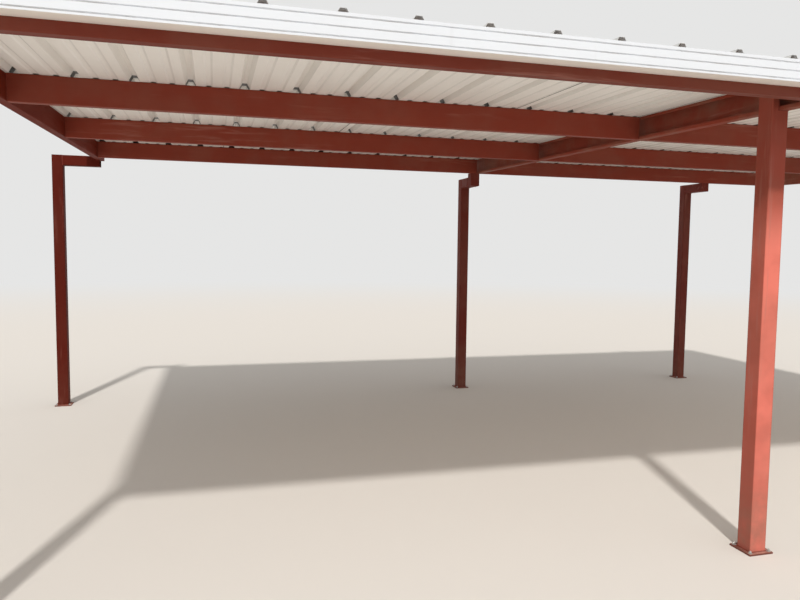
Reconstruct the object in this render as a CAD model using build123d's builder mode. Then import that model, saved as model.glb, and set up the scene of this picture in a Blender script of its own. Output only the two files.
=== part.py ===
# Open steel carport: a low shed roof of ribbed sheets on two bays of C-section framing.
#
# The frame stands on six square tube posts. The three front posts are notched for the
# rafters, which run on past them to the front beam. The three rear posts carry short arms
# that take the back of the frame. A white box gutter hangs on the front beam, with a
# downspout at the front right post.
#
# Millimetres, +X to the right seen from the front, +Y to the back, +Z up. The origin is on
# the floor, below the middle of the whole carport's plan.

import os
from itertools import pairwise
from math import ceil, cos, floor, radians, sin, tan

from build123d import *

os.makedirs("parts", exist_ok=True)

# Roof slope and main heights
slope = 1.49                 # degrees, 5/16 in per foot, the front is the low side
front_clearance = 2388       # floor to the underside of the front beam, 7 ft 10 in

# Plan of the frame
bay = 4007                   # rafter centre to rafter centre, two bays
purlin_spacing = 1524        # 5 ft along the slope, front beam to first purlin and on
rafter_tail = 130            # rafters run on past the back purlin's far side
front_post_setback = 300     # front beam's face to the front posts' front face
rear_post_setback = 324      # back purlin's face to the rear posts' front face
rear_left_offset = 395       # rear left post's centre, outside the left rafter's centre
rear_middle_offset = 45      # rear middle post's centre, left of the middle rafter's centre
rear_right_offset = 997      # rear right post's centre, inside the right rafter's centre

# Cold-formed lipped channel, used for the beam, rafters and purlins
channel_depth = 152.4
channel_flange = 63.5
channel_lip = 19
channel_gauge = 1.9
channel_bend = 4.8           # outside radius of each bend

# Posts, arms and base plates
tube = 101.6
tube_wall = 3.2
tube_corner = 6.4
cap_thickness = 3.2
upright_clearance = 3        # top of the tube beside a rafter to the roof sheet
arm_setback = 12             # arms end this far behind the back purlin's face
middle_arm_drop = 38.1       # the middle arm's top, below the back purlin's underside
left_arm_rise = 38.1         # the left arm's top, above the rafter's underside
left_arm_bearing = 32        # the left arm reaches this far under the rafter
plate_size = 152.4
plate_thickness = 9.5
anchor_spacing = 120.6
anchor_hole = 11.1           # diameter, for 3/8 in anchors

# Roof sheets
rib_pitch = 304.8
rib_height = 31.75
rib_base = 62
rib_crest = 25.4
minor_height = 4
minor_base = 44
minor_crest = 22
sheet_gauge = 0.6
ribs_per_sheet = 3
bearing_leg = 46             # flat strip beyond a sheet's first rib, under its neighbour
lap_ease = 2                 # over which the upper sheet rises onto that strip
lap_stop = 4                 # upper sheet's edge, short of the lap rib's far foot
lap_shift = 33               # a lap rib's centre, right of the middle rafter's centre
side_overhang_left = 150     # left rafter's centre to the roof's left edge
side_overhang_right = 216    # right rafter's centre to the roof's right edge
sheet_overhang_front = 25    # sheets run past the front beam's face into the gutter
sheet_overhang_back = 25     # sheets run past the rafters' back ends

# Gutter
gutter_depth = 92
gutter_height = 100
gutter_drop = 5              # lip below the roof sheets' underside
gutter_gauge = 0.8
gutter_lip = 14
groove_depth = 5
groove_width = 7
first_groove = 16            # groove centre below the lip
groove_pitch = 36.5
strap_width = 25
strap_gauge = 1.5
strap_count = 9
strap_below_lip = 6

# Downspout, down the front right post
downspout_width = 76.2
downspout_depth = 50.8
downspout_gauge = 0.6
downspout_corner = 4         # chamfer
downspout_bend = 60          # radius of the bends' middle line
bend_chords = 3              # straight chords that each bend is folded in
downspout_lead = 25          # straight stretch at each end of a bent piece
downspout_slant = 45         # degrees, of the stretch from the gutter back to the post
shoe_angle = 60              # degrees, the shoe's kick to the front
shoe_reach = 150             # along the shoe's foot, from its bend's corner to its mouth
shoe_rise = 160              # floor to the shoe's corner
outlet_drop = 40             # gutter's bottom to the end of its outlet
outlet_rim = 12
outlet_clearance = 0.3
downspout_strap_width = 25
downspout_strap_gauge = 1
downspout_strap_ear = 12
downspout_strap_heights = (650, 1750)

# Rake trims, angles over the roof's cut side edges
trim_gauge = 0.8
trim_leg = 60
trim_drop = 75
trim_hem = 10

# Places worked out from the sizes above
slope_sin = sin(radians(slope))
slope_cos = cos(radians(slope))
back_purlin_face = 3 * purlin_spacing
rafter_end = back_purlin_face + channel_flange + rafter_tail
rear_post_line = back_purlin_face * slope_cos + rear_post_setback
gutter_face = -gutter_depth
left_edge = -bay - side_overhang_left
right_edge = bay + side_overhang_right
roof_width = right_edge - left_edge
beam_top = front_clearance + channel_depth * slope_cos
sheet_cover = ribs_per_sheet * rib_pitch
rafter_x = (-bay, 0, bay)
rear_post_x = (
    -bay - rear_left_offset,
    -rear_middle_offset,
    bay - rear_right_offset,
)

# The plan's outermost places, seen from the middle rafter at the front beam's face.
# The origin is set in the middle of them.
plan_left = rear_post_x[0] - plate_size / 2
plan_right = right_edge + trim_gauge
plan_front = gutter_face * slope_cos + gutter_drop * slope_sin
plan_back = rear_post_line + (tube + plate_size) / 2
middle_x = -(plan_left + plan_right) / 2
beam_y = -(plan_front + plan_back) / 2


def ground(across_frame, behind_beam):
    """X and Y of a place measured level from the middle rafter and the front beam's face."""
    return middle_x + across_frame, beam_y + behind_beam


# The roof's own frame: X across from the middle rafter, Y up the slope from the front
# beam's face, Z square to the sheets from the tops of the framing
roof = Plane(
    origin=(middle_x, beam_y, beam_top),
    x_dir=(1, 0, 0),
    z_dir=(0, -slope_sin, slope_cos),
)


def underside_z(from_beam):
    """Height of the framing's underside, a level distance behind the front beam's face."""
    return beam_top - channel_depth / slope_cos + from_beam * tan(radians(slope))


def across(x, along=0, lift=0):
    """Sketch plane square to X, with its X up the slope and its Y square to the sheets."""
    return Plane(
        origin=roof.from_local_coords((x, along, lift)),
        x_dir=roof.y_dir,
        z_dir=(1, 0, 0),
    )


def up_slope(x, along=0):
    """Sketch plane square to the slope, with its X across the roof."""
    return Plane(
        origin=roof.from_local_coords((x, along, 0)),
        x_dir=(-1, 0, 0),
        z_dir=roof.y_dir,
    )


def keep(builder, name):
    """Labels a finished piece and writes it to its own STEP file."""
    builder.part.label = name
    export_step(builder.part, f"parts/{name}.step")


def channel_profile():
    """Lipped channel: web on X = 0, flanges towards +X, top face on Y = 0."""
    with BuildSketch() as profile:
        with BuildLine():
            FilletPolyline(
                (channel_flange, -channel_lip),
                (channel_flange, 0),
                (0, 0),
                (0, -channel_depth),
                (channel_flange, -channel_depth),
                (channel_flange, channel_lip - channel_depth),
                radius=channel_bend,
            )
            offset(amount=channel_gauge, side=Side.LEFT)
        make_face()
    return profile.sketch


def tube_profile():
    """Square tube with rounded corners, about its own centre."""
    inside = tube - 2 * tube_wall
    with BuildSketch() as profile:
        RectangleRounded(tube, tube, tube_corner)
        RectangleRounded(inside, inside, tube_corner - tube_wall, mode=Mode.SUBTRACT)
    return profile.sketch


# Front beam: one channel over the whole width, web to the front
frame_half = bay + channel_flange / 2
with BuildPart() as front_beam:
    with BuildSketch(across(-frame_half)):
        add(channel_profile())
    extrude(amount=2 * frame_half)
keep(front_beam, "front_beam")

# Purlins: cut to fit between the rafters, webs to the front
purlin_length = bay - channel_flange
for row in (1, 2, 3):
    for side, start in (("left", -bay), ("right", 0)):
        with BuildPart() as purlin:
            with BuildSketch(across(start + channel_flange / 2, row * purlin_spacing)):
                add(channel_profile())
            extrude(amount=purlin_length)
        keep(purlin, f"purlin_{row}_{side}")

# Rafters: the left and middle ones open to the left, the right one to the right.
# The left rafter runs on to the back of its rear post.
left_rafter_end = (rear_post_line + tube) / slope_cos
rafter_ends = (left_rafter_end, rafter_end, rafter_end)
for name, x, end, opens in zip(("left", "middle", "right"), rafter_x, rafter_ends, (1, 1, -1)):
    web_x = x + opens * channel_flange / 2
    with BuildPart() as rafter:
        with BuildSketch(up_slope(web_x, channel_flange)) as section:
            add(channel_profile())
            if opens < 0:
                mirror(about=Plane.YZ, mode=Mode.REPLACE)
        extrude(amount=end - channel_flange)
    keep(rafter, f"rafter_{name}")

# Front posts: the tube is cut away under and beside the rafter, and its outer strip
# stands up against the rafter's side
front_post_line = front_post_setback + tube / 2
front_post_top = beam_top + front_post_setback * tan(radians(slope)) - upright_clearance
plate_places = {}
for name, x, outside in zip(("left", "middle", "right"), rafter_x, (-1, -1, 1)):
    place = ground(x + outside * (tube - channel_flange) / 2, front_post_line)
    plate_places[f"front_{name}"] = place
    with BuildPart() as front_post:
        with BuildSketch(Plane.XY.offset(plate_thickness)):
            with Locations(place):
                add(tube_profile())
        extrude(amount=front_post_top - plate_thickness)
        with BuildSketch(roof.offset(-channel_depth)):
            with Locations((x, front_post_line)):
                Rectangle(channel_flange, 2 * tube)
        extrude(amount=channel_depth + tube, mode=Mode.SUBTRACT)
    keep(front_post, f"front_post_{name}")

# Rear posts: capped tubes. The left one stands taller, beside the left rafter, and the
# middle one lower, behind its stub.
arm_front = back_purlin_face * slope_cos + arm_setback
left_seat_z = underside_z(rear_post_line) + left_arm_rise
right_seat_z = underside_z(arm_front)
middle_seat_z = right_seat_z - middle_arm_drop
rear_post_top = (left_seat_z, middle_seat_z, right_seat_z)
for name, x, top in zip(("left", "middle", "right"), rear_post_x, rear_post_top):
    place = ground(x, rear_post_line + tube / 2)
    plate_places[f"rear_{name}"] = place
    with BuildPart() as rear_post:
        with BuildSketch(Plane.XY.offset(plate_thickness)):
            with Locations(place):
                add(tube_profile())
        extrude(amount=top - cap_thickness - plate_thickness)
        with BuildSketch(Plane.XY.offset(top - cap_thickness)):
            with Locations(place):
                RectangleRounded(tube, tube, tube_corner)
        extrude(amount=cap_thickness)
    keep(rear_post, f"rear_post_{name}")

# Arm of the right rear post: square tube, butted to the post's front face, with a closed
# front end under the back purlin
arm_length = rear_post_line - arm_front
right_arm_plane = Plane(
    origin=(*ground(rear_post_x[2], rear_post_line), right_seat_z - tube / 2),
    x_dir=(1, 0, 0),
    z_dir=(0, -1, 0),
)
with BuildPart() as arm_right:
    with BuildSketch(right_arm_plane):
        add(tube_profile())
    extrude(amount=arm_length - cap_thickness)
    with BuildSketch(right_arm_plane.offset(arm_length - cap_thickness)):
        RectangleRounded(tube, tube, tube_corner)
    extrude(amount=cap_thickness)
keep(arm_right, "arm_right")

# Arm of the middle rear post: the same tube, from the post to the back of its stub
middle_arm_plane = Plane(
    origin=(*ground(rear_post_x[1], rear_post_line), middle_seat_z - tube / 2),
    x_dir=(1, 0, 0),
    z_dir=(0, -1, 0),
)
with BuildPart() as arm_middle:
    with BuildSketch(middle_arm_plane):
        add(tube_profile())
    extrude(amount=arm_length - tube)
keep(arm_middle, "arm_middle")

# Stub of the middle arm: an upright tube with a closed foot. Its top is cut to the slope of
# the purlin and the rafter that it carries.
stub_bottom = middle_seat_z - tube
stub_place = ground(rear_post_x[1], arm_front + tube / 2)
with BuildPart() as stub_middle:
    with BuildSketch(Plane.XY.offset(stub_bottom)):
        with Locations(stub_place):
            RectangleRounded(tube, tube, tube_corner)
    extrude(amount=cap_thickness)
    with BuildSketch(Plane.XY.offset(stub_bottom + cap_thickness)):
        with Locations(stub_place):
            add(tube_profile())
    extrude(amount=tube + channel_depth)
    split(bisect_by=roof.offset(-channel_depth), keep=Keep.BOTTOM)
keep(stub_middle, "stub_middle")

# Arm of the left rear post: runs sideways, with its end notched for the rafter
left_arm_start = rear_post_x[0] + tube / 2
left_arm_end = -bay - channel_flange / 2 + left_arm_bearing
left_arm_plane = Plane(
    origin=(*ground(left_arm_start, rear_post_line + tube / 2), left_seat_z - tube / 2),
    x_dir=(0, 1, 0),
    z_dir=(1, 0, 0),
)
with BuildPart() as arm_left:
    with BuildSketch(left_arm_plane):
        add(tube_profile())
    extrude(amount=left_arm_end - left_arm_start)
    with BuildSketch(roof.offset(-channel_depth)):
        with Locations((-bay, rear_post_line + tube / 2)):
            Rectangle(channel_flange, 2 * tube)
    extrude(amount=channel_depth, mode=Mode.SUBTRACT)
keep(arm_left, "arm_left")

# Base plates: one under each post, with four anchor holes
for name, place in plate_places.items():
    with BuildPart() as base_plate:
        with BuildSketch():
            with Locations(place):
                Rectangle(plate_size, plate_size)
                with GridLocations(anchor_spacing, anchor_spacing, 2, 2):
                    Circle(anchor_hole / 2, mode=Mode.SUBTRACT)
        extrude(amount=plate_thickness)
    keep(base_plate, f"base_plate_{name}")


def rib_line(centre, height, base, crest):
    """Outline points of one trapezoid rib, left to right."""
    return [
        (centre - base / 2, 0),
        (centre - crest / 2, height),
        (centre + crest / 2, height),
        (centre + base / 2, 0),
    ]


def height_at(points, x):
    """Height of an outline at a place across the roof."""
    for (x0, z0), (x1, z1) in pairwise(points):
        if x0 <= x <= x1:
            return z0 + (z1 - z0) * (x - x0) / (x1 - x0)
    return 0


def sheet_line(number):
    """Underside outline of one roof sheet, from its bearing leg to its lap over the next one.

    The outline is cut at the roof's sides.
    """
    start = lap_shift + number * sheet_cover
    points = [(start - rib_base / 2 - bearing_leg, 0)]
    points += rib_line(start, rib_height, rib_base, rib_crest)
    for rib in range(1, ribs_per_sheet + 1):
        centre = start + rib * rib_pitch
        for third in (2, 1):
            middle = centre - third * rib_pitch / 3
            points += rib_line(middle, minor_height, minor_base, minor_crest)
        if rib < ribs_per_sheet:
            points += rib_line(centre, rib_height, rib_base, rib_crest)
    next_leg = centre - rib_base / 2 - bearing_leg
    lap = rib_line(centre, rib_height, rib_base, rib_crest)
    lap[-1] = (centre + rib_base / 2 - lap_stop, lap_stop * rib_height * 2 / (rib_base - rib_crest))
    points += [(next_leg - lap_ease, 0), (next_leg, sheet_gauge)]
    points += [(x, z + sheet_gauge) for x, z in lap]
    kept = [point for point in points if left_edge < point[0] < right_edge]
    if points[0][0] < left_edge:
        kept.insert(0, (left_edge, height_at(points, left_edge)))
    if points[-1][0] > right_edge:
        kept.append((right_edge, height_at(points, right_edge)))
    return kept


# Roof sheets, numbered from the left: each one's last rib laps over the next one's first
sheet_start = -sheet_overhang_front
sheet_length = sheet_overhang_front + rafter_end + sheet_overhang_back
first_sheet = floor((left_edge - lap_shift) / sheet_cover)
last_sheet = ceil((right_edge - lap_shift) / sheet_cover) - 1
sheet_lines = [sheet_line(number) for number in range(first_sheet, last_sheet + 1)]
for number, line in enumerate(sheet_lines, start=1):
    outline = line + [(x, z + sheet_gauge) for x, z in reversed(line)]
    with BuildPart() as roof_sheet:
        with BuildSketch(up_slope(0, sheet_start)):
            with BuildLine():
                Polyline(*[(-x, z) for x, z in outline], close=True)
            make_face()
        extrude(amount=sheet_length)
    keep(roof_sheet, f"roof_sheet_{number:02d}")


def gutter_line():
    """Outside outline of the gutter from its back top, round the bottom, to the lip's end."""
    points = [(0, -gutter_drop), (0, -gutter_drop - gutter_height)]
    points.append((gutter_face, -gutter_drop - gutter_height))
    last_groove = gutter_height - first_groove - groove_width / 2
    for groove in reversed(range(ceil(last_groove / groove_pitch))):
        centre = -gutter_drop - first_groove - groove * groove_pitch
        points.append((gutter_face, centre - groove_width / 2))
        points.append((gutter_face + groove_depth, centre))
        points.append((gutter_face, centre + groove_width / 2))
    points.append((gutter_face, -gutter_drop))
    points.append((gutter_face + gutter_lip, -gutter_drop))
    return points


def downspout_outline(growth=0):
    """Outside outline of the downspout, grown or shrunk all round."""
    with BuildSketch() as outline:
        Rectangle(downspout_width, downspout_depth)
        chamfer(outline.vertices(), downspout_corner)
        if growth:
            offset(amount=growth, kind=Kind.INTERSECTION, mode=Mode.REPLACE)
    return outline.sketch


def downspout_profile():
    """Thin-walled section of the downspout."""
    with BuildSketch() as profile:
        add(downspout_outline())
        add(downspout_outline(-downspout_gauge), mode=Mode.SUBTRACT)
    return profile.sketch


def folded_route(corners, reach):
    """Middle line of a folded pipe: chords of a bend that starts a reach before each corner."""
    points = [corners[0]]
    for before, corner, after in zip(corners, corners[1:], corners[2:]):
        back = (before - corner).normalized() * reach
        ahead = (after - corner).normalized() * reach
        for fold in range(bend_chords + 1):
            share = fold / bend_chords
            points.append(corner + back * (1 - share) ** 2 + ahead * share**2)
    return points + [corners[-1]]


# Gutter: folded sheet with a grooved face, open at the top, as long as the roof is wide,
# with a hole in its bottom for the outlet
gutter_bottom = -gutter_drop - gutter_height
outlet_x = bay + (tube - channel_flange) / 2
outlet_place = (outlet_x, gutter_face / 2)
with BuildPart() as gutter:
    with BuildSketch(across(left_edge)):
        with BuildLine():
            Polyline(*gutter_line())
            offset(amount=gutter_gauge, side=Side.RIGHT, kind=Kind.INTERSECTION)
        make_face()
    extrude(amount=roof_width)
    with BuildSketch(roof.offset(gutter_bottom)):
        with Locations(outlet_place):
            add(downspout_outline(outlet_clearance))
    extrude(amount=gutter_gauge, mode=Mode.SUBTRACT)
keep(gutter, "gutter")

# Outlet: a short tube down through the hole, hung by its rim on the trough's floor
with BuildPart() as gutter_outlet:
    with BuildSketch(roof.offset(gutter_bottom - outlet_drop)):
        with Locations(outlet_place):
            add(downspout_profile())
    extrude(amount=outlet_drop + gutter_gauge)
    with BuildSketch(roof.offset(gutter_bottom + gutter_gauge)):
        with Locations(outlet_place):
            add(downspout_outline(outlet_rim))
            add(downspout_outline(-downspout_gauge), mode=Mode.SUBTRACT)
    extrude(amount=downspout_gauge)
keep(gutter_outlet, "gutter_outlet")

# Downspout: back under the beam to the front right post, down its face, and out at the foot
pipe_x, pipe_y = ground(outlet_x, front_post_setback - downspout_depth / 2)
slant_tangent = downspout_bend * tan(radians(downspout_slant / 2))
shoe_tangent = downspout_bend * tan(radians(shoe_angle / 2))
outlet_end = roof.from_local_coords((*outlet_place, gutter_bottom - outlet_drop))
upper_corner = outlet_end - roof.z_dir * (downspout_lead + slant_tangent)
lower_corner_z = upper_corner.Z - (pipe_y - upper_corner.Y) / tan(radians(downspout_slant))
pipe_top = lower_corner_z - slant_tangent - downspout_lead
pipe_bottom = shoe_rise + shoe_tangent + downspout_lead
offset_corners = (
    outlet_end,
    upper_corner,
    Vector(pipe_x, pipe_y, lower_corner_z),
    Vector(pipe_x, pipe_y, pipe_top),
)
shoe_mouth_y = pipe_y - shoe_reach * sin(radians(shoe_angle))
shoe_mouth_z = shoe_rise - shoe_reach * cos(radians(shoe_angle))
shoe_corners = (
    Vector(pipe_x, pipe_y, pipe_bottom),
    Vector(pipe_x, pipe_y, shoe_rise),
    Vector(pipe_x, shoe_mouth_y, shoe_mouth_z),
)
for name, route in (
    ("offset", folded_route(offset_corners, slant_tangent)),
    ("shoe", folded_route(shoe_corners, shoe_tangent)),
):
    with BuildPart() as bent_pipe:
        with BuildLine() as middle_line:
            Polyline(*route)
        with BuildSketch(Plane(route[0], x_dir=(1, 0, 0), z_dir=middle_line.line % 0)):
            add(downspout_profile())
        sweep(path=middle_line.line, transition=Transition.RIGHT)
    keep(bent_pipe, f"downspout_{name}")

with BuildPart() as downspout_pipe:
    with BuildSketch(Plane.XY.offset(pipe_bottom)):
        with Locations((pipe_x, pipe_y)):
            add(downspout_profile())
    extrude(amount=pipe_top - pipe_bottom)
keep(downspout_pipe, "downspout_pipe")

# Downspout straps: bands round the pipe, with an ear on the post at each side
pipe_side = downspout_width / 2
pipe_face = downspout_depth / 2
ear_end = pipe_side + downspout_strap_ear
with BuildPart() as downspout_straps:
    for height in downspout_strap_heights:
        with BuildSketch(Plane((pipe_x, pipe_y, height))):
            with BuildLine():
                Polyline(
                    (-ear_end, pipe_face),
                    (-pipe_side, pipe_face),
                    (-pipe_side, -pipe_face),
                    (pipe_side, -pipe_face),
                    (pipe_side, pipe_face),
                    (ear_end, pipe_face),
                )
                offset(amount=downspout_strap_gauge, side=Side.RIGHT, kind=Kind.INTERSECTION)
            make_face()
        extrude(amount=downspout_strap_width)
keep(downspout_straps, "downspout_straps")

# Gutter end caps: flat plates over the gutter's cut ends
for name, x in (("left", left_edge - gutter_gauge), ("right", right_edge)):
    with BuildPart() as gutter_cap:
        with BuildSketch(across(x)):
            with Locations((gutter_face / 2, -gutter_drop - gutter_height / 2)):
                Rectangle(gutter_depth, gutter_height)
        extrude(amount=gutter_gauge)
    keep(gutter_cap, f"gutter_cap_{name}")

# Gutter straps: flat bars from the beam's face to the gutter's front, inside the trough
strap_pitch = roof_width / strap_count
with BuildPart() as gutter_straps:
    for index in range(strap_count):
        x = left_edge + (index + 0.5) * strap_pitch - strap_width / 2
        with BuildSketch(across(x, gutter_face + gutter_gauge, -gutter_drop - strap_below_lip)):
            with Locations(((gutter_depth - 2 * gutter_gauge) / 2, 0)):
                Rectangle(gutter_depth - 2 * gutter_gauge, strap_gauge)
        extrude(amount=strap_width)
keep(gutter_straps, "gutter_straps")

# Rake trims: angles whose top leg lies on the highest rib below it, with a hem at the foot.
# They start behind the gutter's ends.
for name, edge, hand in (("left", left_edge, -1), ("right", right_edge, 1)):
    inner_end = edge - hand * trim_leg
    below_trim = [z for line in sheet_lines for x, z in line if abs(x - edge) < trim_leg]
    below_trim += [height_at(line, inner_end) for line in sheet_lines]
    trim_seat = max(below_trim) + sheet_gauge
    with BuildPart() as rake_trim:
        with BuildSketch(up_slope(edge)):
            with BuildLine():
                Polyline(
                    (hand * trim_leg, trim_seat),
                    (0, trim_seat),
                    (0, trim_seat - trim_drop),
                    (hand * trim_hem, trim_seat - trim_drop),
                )
                offset(
                    amount=trim_gauge,
                    side=Side.RIGHT if hand > 0 else Side.LEFT,
                    kind=Kind.INTERSECTION,
                )
            make_face()
        extrude(amount=sheet_start + sheet_length)
    keep(rake_trim, f"rake_trim_{name}")
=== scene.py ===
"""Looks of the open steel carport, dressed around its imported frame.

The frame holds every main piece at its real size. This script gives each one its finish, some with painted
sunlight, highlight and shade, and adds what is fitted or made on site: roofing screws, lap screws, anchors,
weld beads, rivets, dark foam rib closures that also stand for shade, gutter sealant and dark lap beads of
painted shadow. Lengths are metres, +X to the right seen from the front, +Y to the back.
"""

import logging
import math
import random
from dataclasses import dataclass
from enum import Enum
from typing import Callable, Optional, Sequence, Union

import bmesh
import bpy
from mathutils import Matrix, Vector

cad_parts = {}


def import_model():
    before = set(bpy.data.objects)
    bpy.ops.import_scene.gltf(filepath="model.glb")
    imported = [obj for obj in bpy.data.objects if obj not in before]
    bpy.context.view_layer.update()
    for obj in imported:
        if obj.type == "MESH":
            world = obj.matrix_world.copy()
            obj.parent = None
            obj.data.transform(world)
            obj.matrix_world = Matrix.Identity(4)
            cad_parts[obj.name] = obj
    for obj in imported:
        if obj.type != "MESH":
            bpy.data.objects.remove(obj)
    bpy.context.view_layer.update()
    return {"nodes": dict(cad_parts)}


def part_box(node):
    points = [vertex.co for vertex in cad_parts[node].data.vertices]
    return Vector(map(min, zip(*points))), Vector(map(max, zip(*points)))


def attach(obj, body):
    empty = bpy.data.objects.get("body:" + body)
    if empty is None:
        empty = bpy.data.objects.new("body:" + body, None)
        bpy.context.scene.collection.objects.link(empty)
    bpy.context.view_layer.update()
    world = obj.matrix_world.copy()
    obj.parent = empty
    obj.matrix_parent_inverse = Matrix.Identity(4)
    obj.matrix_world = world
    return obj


log = logging.getLogger("carport")

Socket = bpy.types.NodeSocket
Value = Union[float, int, tuple, Socket]
Span = tuple[float, float]
Triple = tuple[float, float, float]
Colour = tuple[float, float, float]
Layer = tuple[Socket, Colour]
Route = list[Vector]
Nodes = dict[str, bpy.types.Object]

MM = 0.001
BODY = "root"
SIDES = ("left", "middle", "right")
UP = Vector((0.0, 0.0, 1.0))
FRONT = Vector((0.0, -1.0, 0.0))


class Slot(Enum):
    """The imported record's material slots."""

    FRAME = "frame_red"
    GUTTER = "gutter_white"
    ZINC = "zinc"
    RUBBER = "washer_rubber"


class Grain(Enum):
    """The way a long member runs, so that its scuffs and roller marks follow it."""

    ACROSS = (0.08, 1.0, 1.0)
    UP_SLOPE = (1.0, 0.08, 1.0)
    UPRIGHT = (1.0, 1.0, 0.08)
    NONE = (1.0, 1.0, 1.0)


@dataclass(frozen=True)
class RoofPlane:
    """The slope that the sheets lie on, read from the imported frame.

    A place on it is given by X, by the distance up the slope from the front beam's face, and
    by the lift off the tops of the framing.
    """

    foot: Vector
    ahead: Vector
    out: Vector
    rows: tuple[float, ...]
    flange: float
    depth: float

    @classmethod
    def of_frame(cls) -> "RoofPlane":
        """Reads the slope, and where the beam and the purlins lie on it.

        Returns:
            The plane.
        """
        purlins = (f"purlin_{number}_left" for number in (1, 2, 3))
        corners = [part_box(name)[0] for name in ("front_beam", *purlins)]
        rise = (corners[3].z - corners[1].z) / (corners[3].y - corners[1].y)
        ahead = Vector((0.0, 1.0, rise)).normalized()
        out = Vector((0.0, -rise, 1.0)).normalized()
        low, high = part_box("rafter_middle")
        flange = high.x - low.x
        beam_low, beam_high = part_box("front_beam")
        foot = Vector((0.0, beam_low.y, beam_high.z - flange * ahead.z))
        rows = tuple((corner.y - foot.y) / ahead.y for corner in corners)
        depth = (beam_high.z - beam_low.z - flange * ahead.z) / ahead.y
        return cls(foot, ahead, out, rows, flange, depth)

    def at(self, x: float, along: float, lift: float = 0.0) -> Vector:
        """Gives the point at a place on the slope.

        Args:
            x: Distance to the right.
            along: Distance up the slope from the beam's face.
            lift: Height off the tops of the framing.

        Returns:
            The point.
        """
        return Vector((x, 0.0, 0.0)) + self.foot + self.ahead * along + self.out * lift

    def underside(self, x: float, y: float) -> Vector:
        """Gives the point on the framing's underside above a place in plan."""
        start = self.at(0.0, 0.0, -self.depth)
        return Vector((x, y, start.z + (y - start.y) * self.ahead.z / self.ahead.y))


class NodeSketch:
    """Writes nodes and links into one node tree, placed left to right."""

    def __init__(self, tree: bpy.types.NodeTree) -> None:
        """Starts a sketch on an empty tree.

        Args:
            tree: The shader or geometry tree to write into.
        """
        self.tree = tree
        self.column = 0

    def add(self, kind: str, inputs: Optional[dict] = None, **settings: object) -> bpy.types.Node:
        """Adds one node.

        Args:
            kind: The node's type name.
            inputs: Values or sockets, by input name or index.
            **settings: Properties set on the node before its inputs.

        Returns:
            The new node.
        """
        node = self.tree.nodes.new(kind)
        node.location = (180 * self.column, 0)
        self.column += 1
        for name, value in settings.items():
            setattr(node, name, value)
        for name, value in (inputs or {}).items():
            self.feed(node.inputs[name], value)
        return node

    def feed(self, socket: Socket, value: Value) -> None:
        """Links a socket into an input, or sets the input's own value.

        Args:
            socket: The input to fill.
            value: A socket to link, a plain value or a colour.
        """
        if isinstance(value, Socket):
            self.tree.links.new(value, socket)
        elif socket.type == "RGBA":
            socket.default_value = (*value, 1.0)
        else:
            socket.default_value = value

    def math(self, operation: str, first: Value, second: Value = 0.0, clamp: bool = False) -> Socket:
        """Adds a Math node.

        Args:
            operation: Its operation.
            first: The first value.
            second: The second value.
            clamp: Whether the result is kept between 0 and 1.

        Returns:
            The result's socket.
        """
        node = self.add("ShaderNodeMath", {0: first, 1: second}, operation=operation, use_clamp=clamp)
        return node.outputs[0]

    def stretch(self, vector: Value, scale: Sequence[float]) -> Socket:
        """Multiplies a vector by a scale.

        Args:
            vector: The vector's socket.
            scale: Three factors.

        Returns:
            The scaled vector's socket.
        """
        node = self.add("ShaderNodeVectorMath", {0: vector, 1: tuple(scale)}, operation="MULTIPLY")
        return node.outputs[0]

    def dot(self, vector: Value, way: Union[Socket, Sequence[float]]) -> Socket:
        """Measures a vector along a direction.

        Args:
            vector: The vector's socket.
            way: The direction, as a socket or three numbers.

        Returns:
            The length's socket.
        """
        second = way if isinstance(way, Socket) else tuple(way)
        node = self.add("ShaderNodeVectorMath", {0: vector, 1: second}, operation="DOT_PRODUCT")
        return node.outputs["Value"]

    def part(self, vector: Value, axis: str) -> Socket:
        """Takes one number out of a vector.

        Args:
            vector: The vector's socket.
            axis: X, Y or Z.

        Returns:
            The number's socket.
        """
        return self.add("ShaderNodeSeparateXYZ", {0: vector}).outputs[axis]

    def facing(self, axis: str) -> Socket:
        """Measures how far the surface looks along an axis, from -1 to 1.

        Args:
            axis: X, Y or Z.

        Returns:
            The number's socket.
        """
        return self.part(self.add("ShaderNodeNewGeometry").outputs["Normal"], axis)

    def noise(self, vector: Value, scale: float, detail: float = 3.0, rough: float = 0.55) -> Socket:
        """Adds a noise texture.

        Args:
            vector: Where the noise is read.
            scale: Its scale, in waves per metre.
            detail: Its octaves.
            rough: How strong the finer octaves are.

        Returns:
            The noise's value socket, around 0.5.
        """
        inputs = {"Vector": vector, "Scale": scale, "Detail": detail, "Roughness": rough}
        return self.add("ShaderNodeTexNoise", inputs).outputs[0]

    def fade(self, value: Value, low: Value, high: Value, start: float = 0.0, end: float = 1.0) -> Socket:
        """Maps a value smoothly from one range to another.

        Args:
            value: The value.
            low: Where the result is `start`.
            high: Where the result is `end`.
            start: The result at `low`.
            end: The result at `high`.

        Returns:
            The result's socket.
        """
        inputs = {"Value": value, "From Min": low, "From Max": high, "To Min": start, "To Max": end}
        node = self.add("ShaderNodeMapRange", inputs, interpolation_type="SMOOTHSTEP")
        return node.outputs["Result"]

    def mix(self, factor: Socket, below: Value, above: Value) -> Socket:
        """Mixes two colours.

        Args:
            factor: How much of the second one shows.
            below: The first colour.
            above: The second colour.

        Returns:
            The mixed colour's socket.
        """
        node = self.add("ShaderNodeMix", data_type="RGBA")
        for index, value in ((0, factor), (6, below), (7, above)):
            self.feed(node.inputs[index], value)
        return node.outputs[2]

    def coat(self, colour: Socket, layers: Sequence[Layer]) -> Socket:
        """Lays coats over a colour.

        Args:
            colour: The colour at the bottom.
            layers: Each coat's mask and colour, from the bottom up.

        Returns:
            The top colour's socket.
        """
        for mask, above in layers:
            colour = self.mix(mask, colour, above)
        return colour


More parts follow.
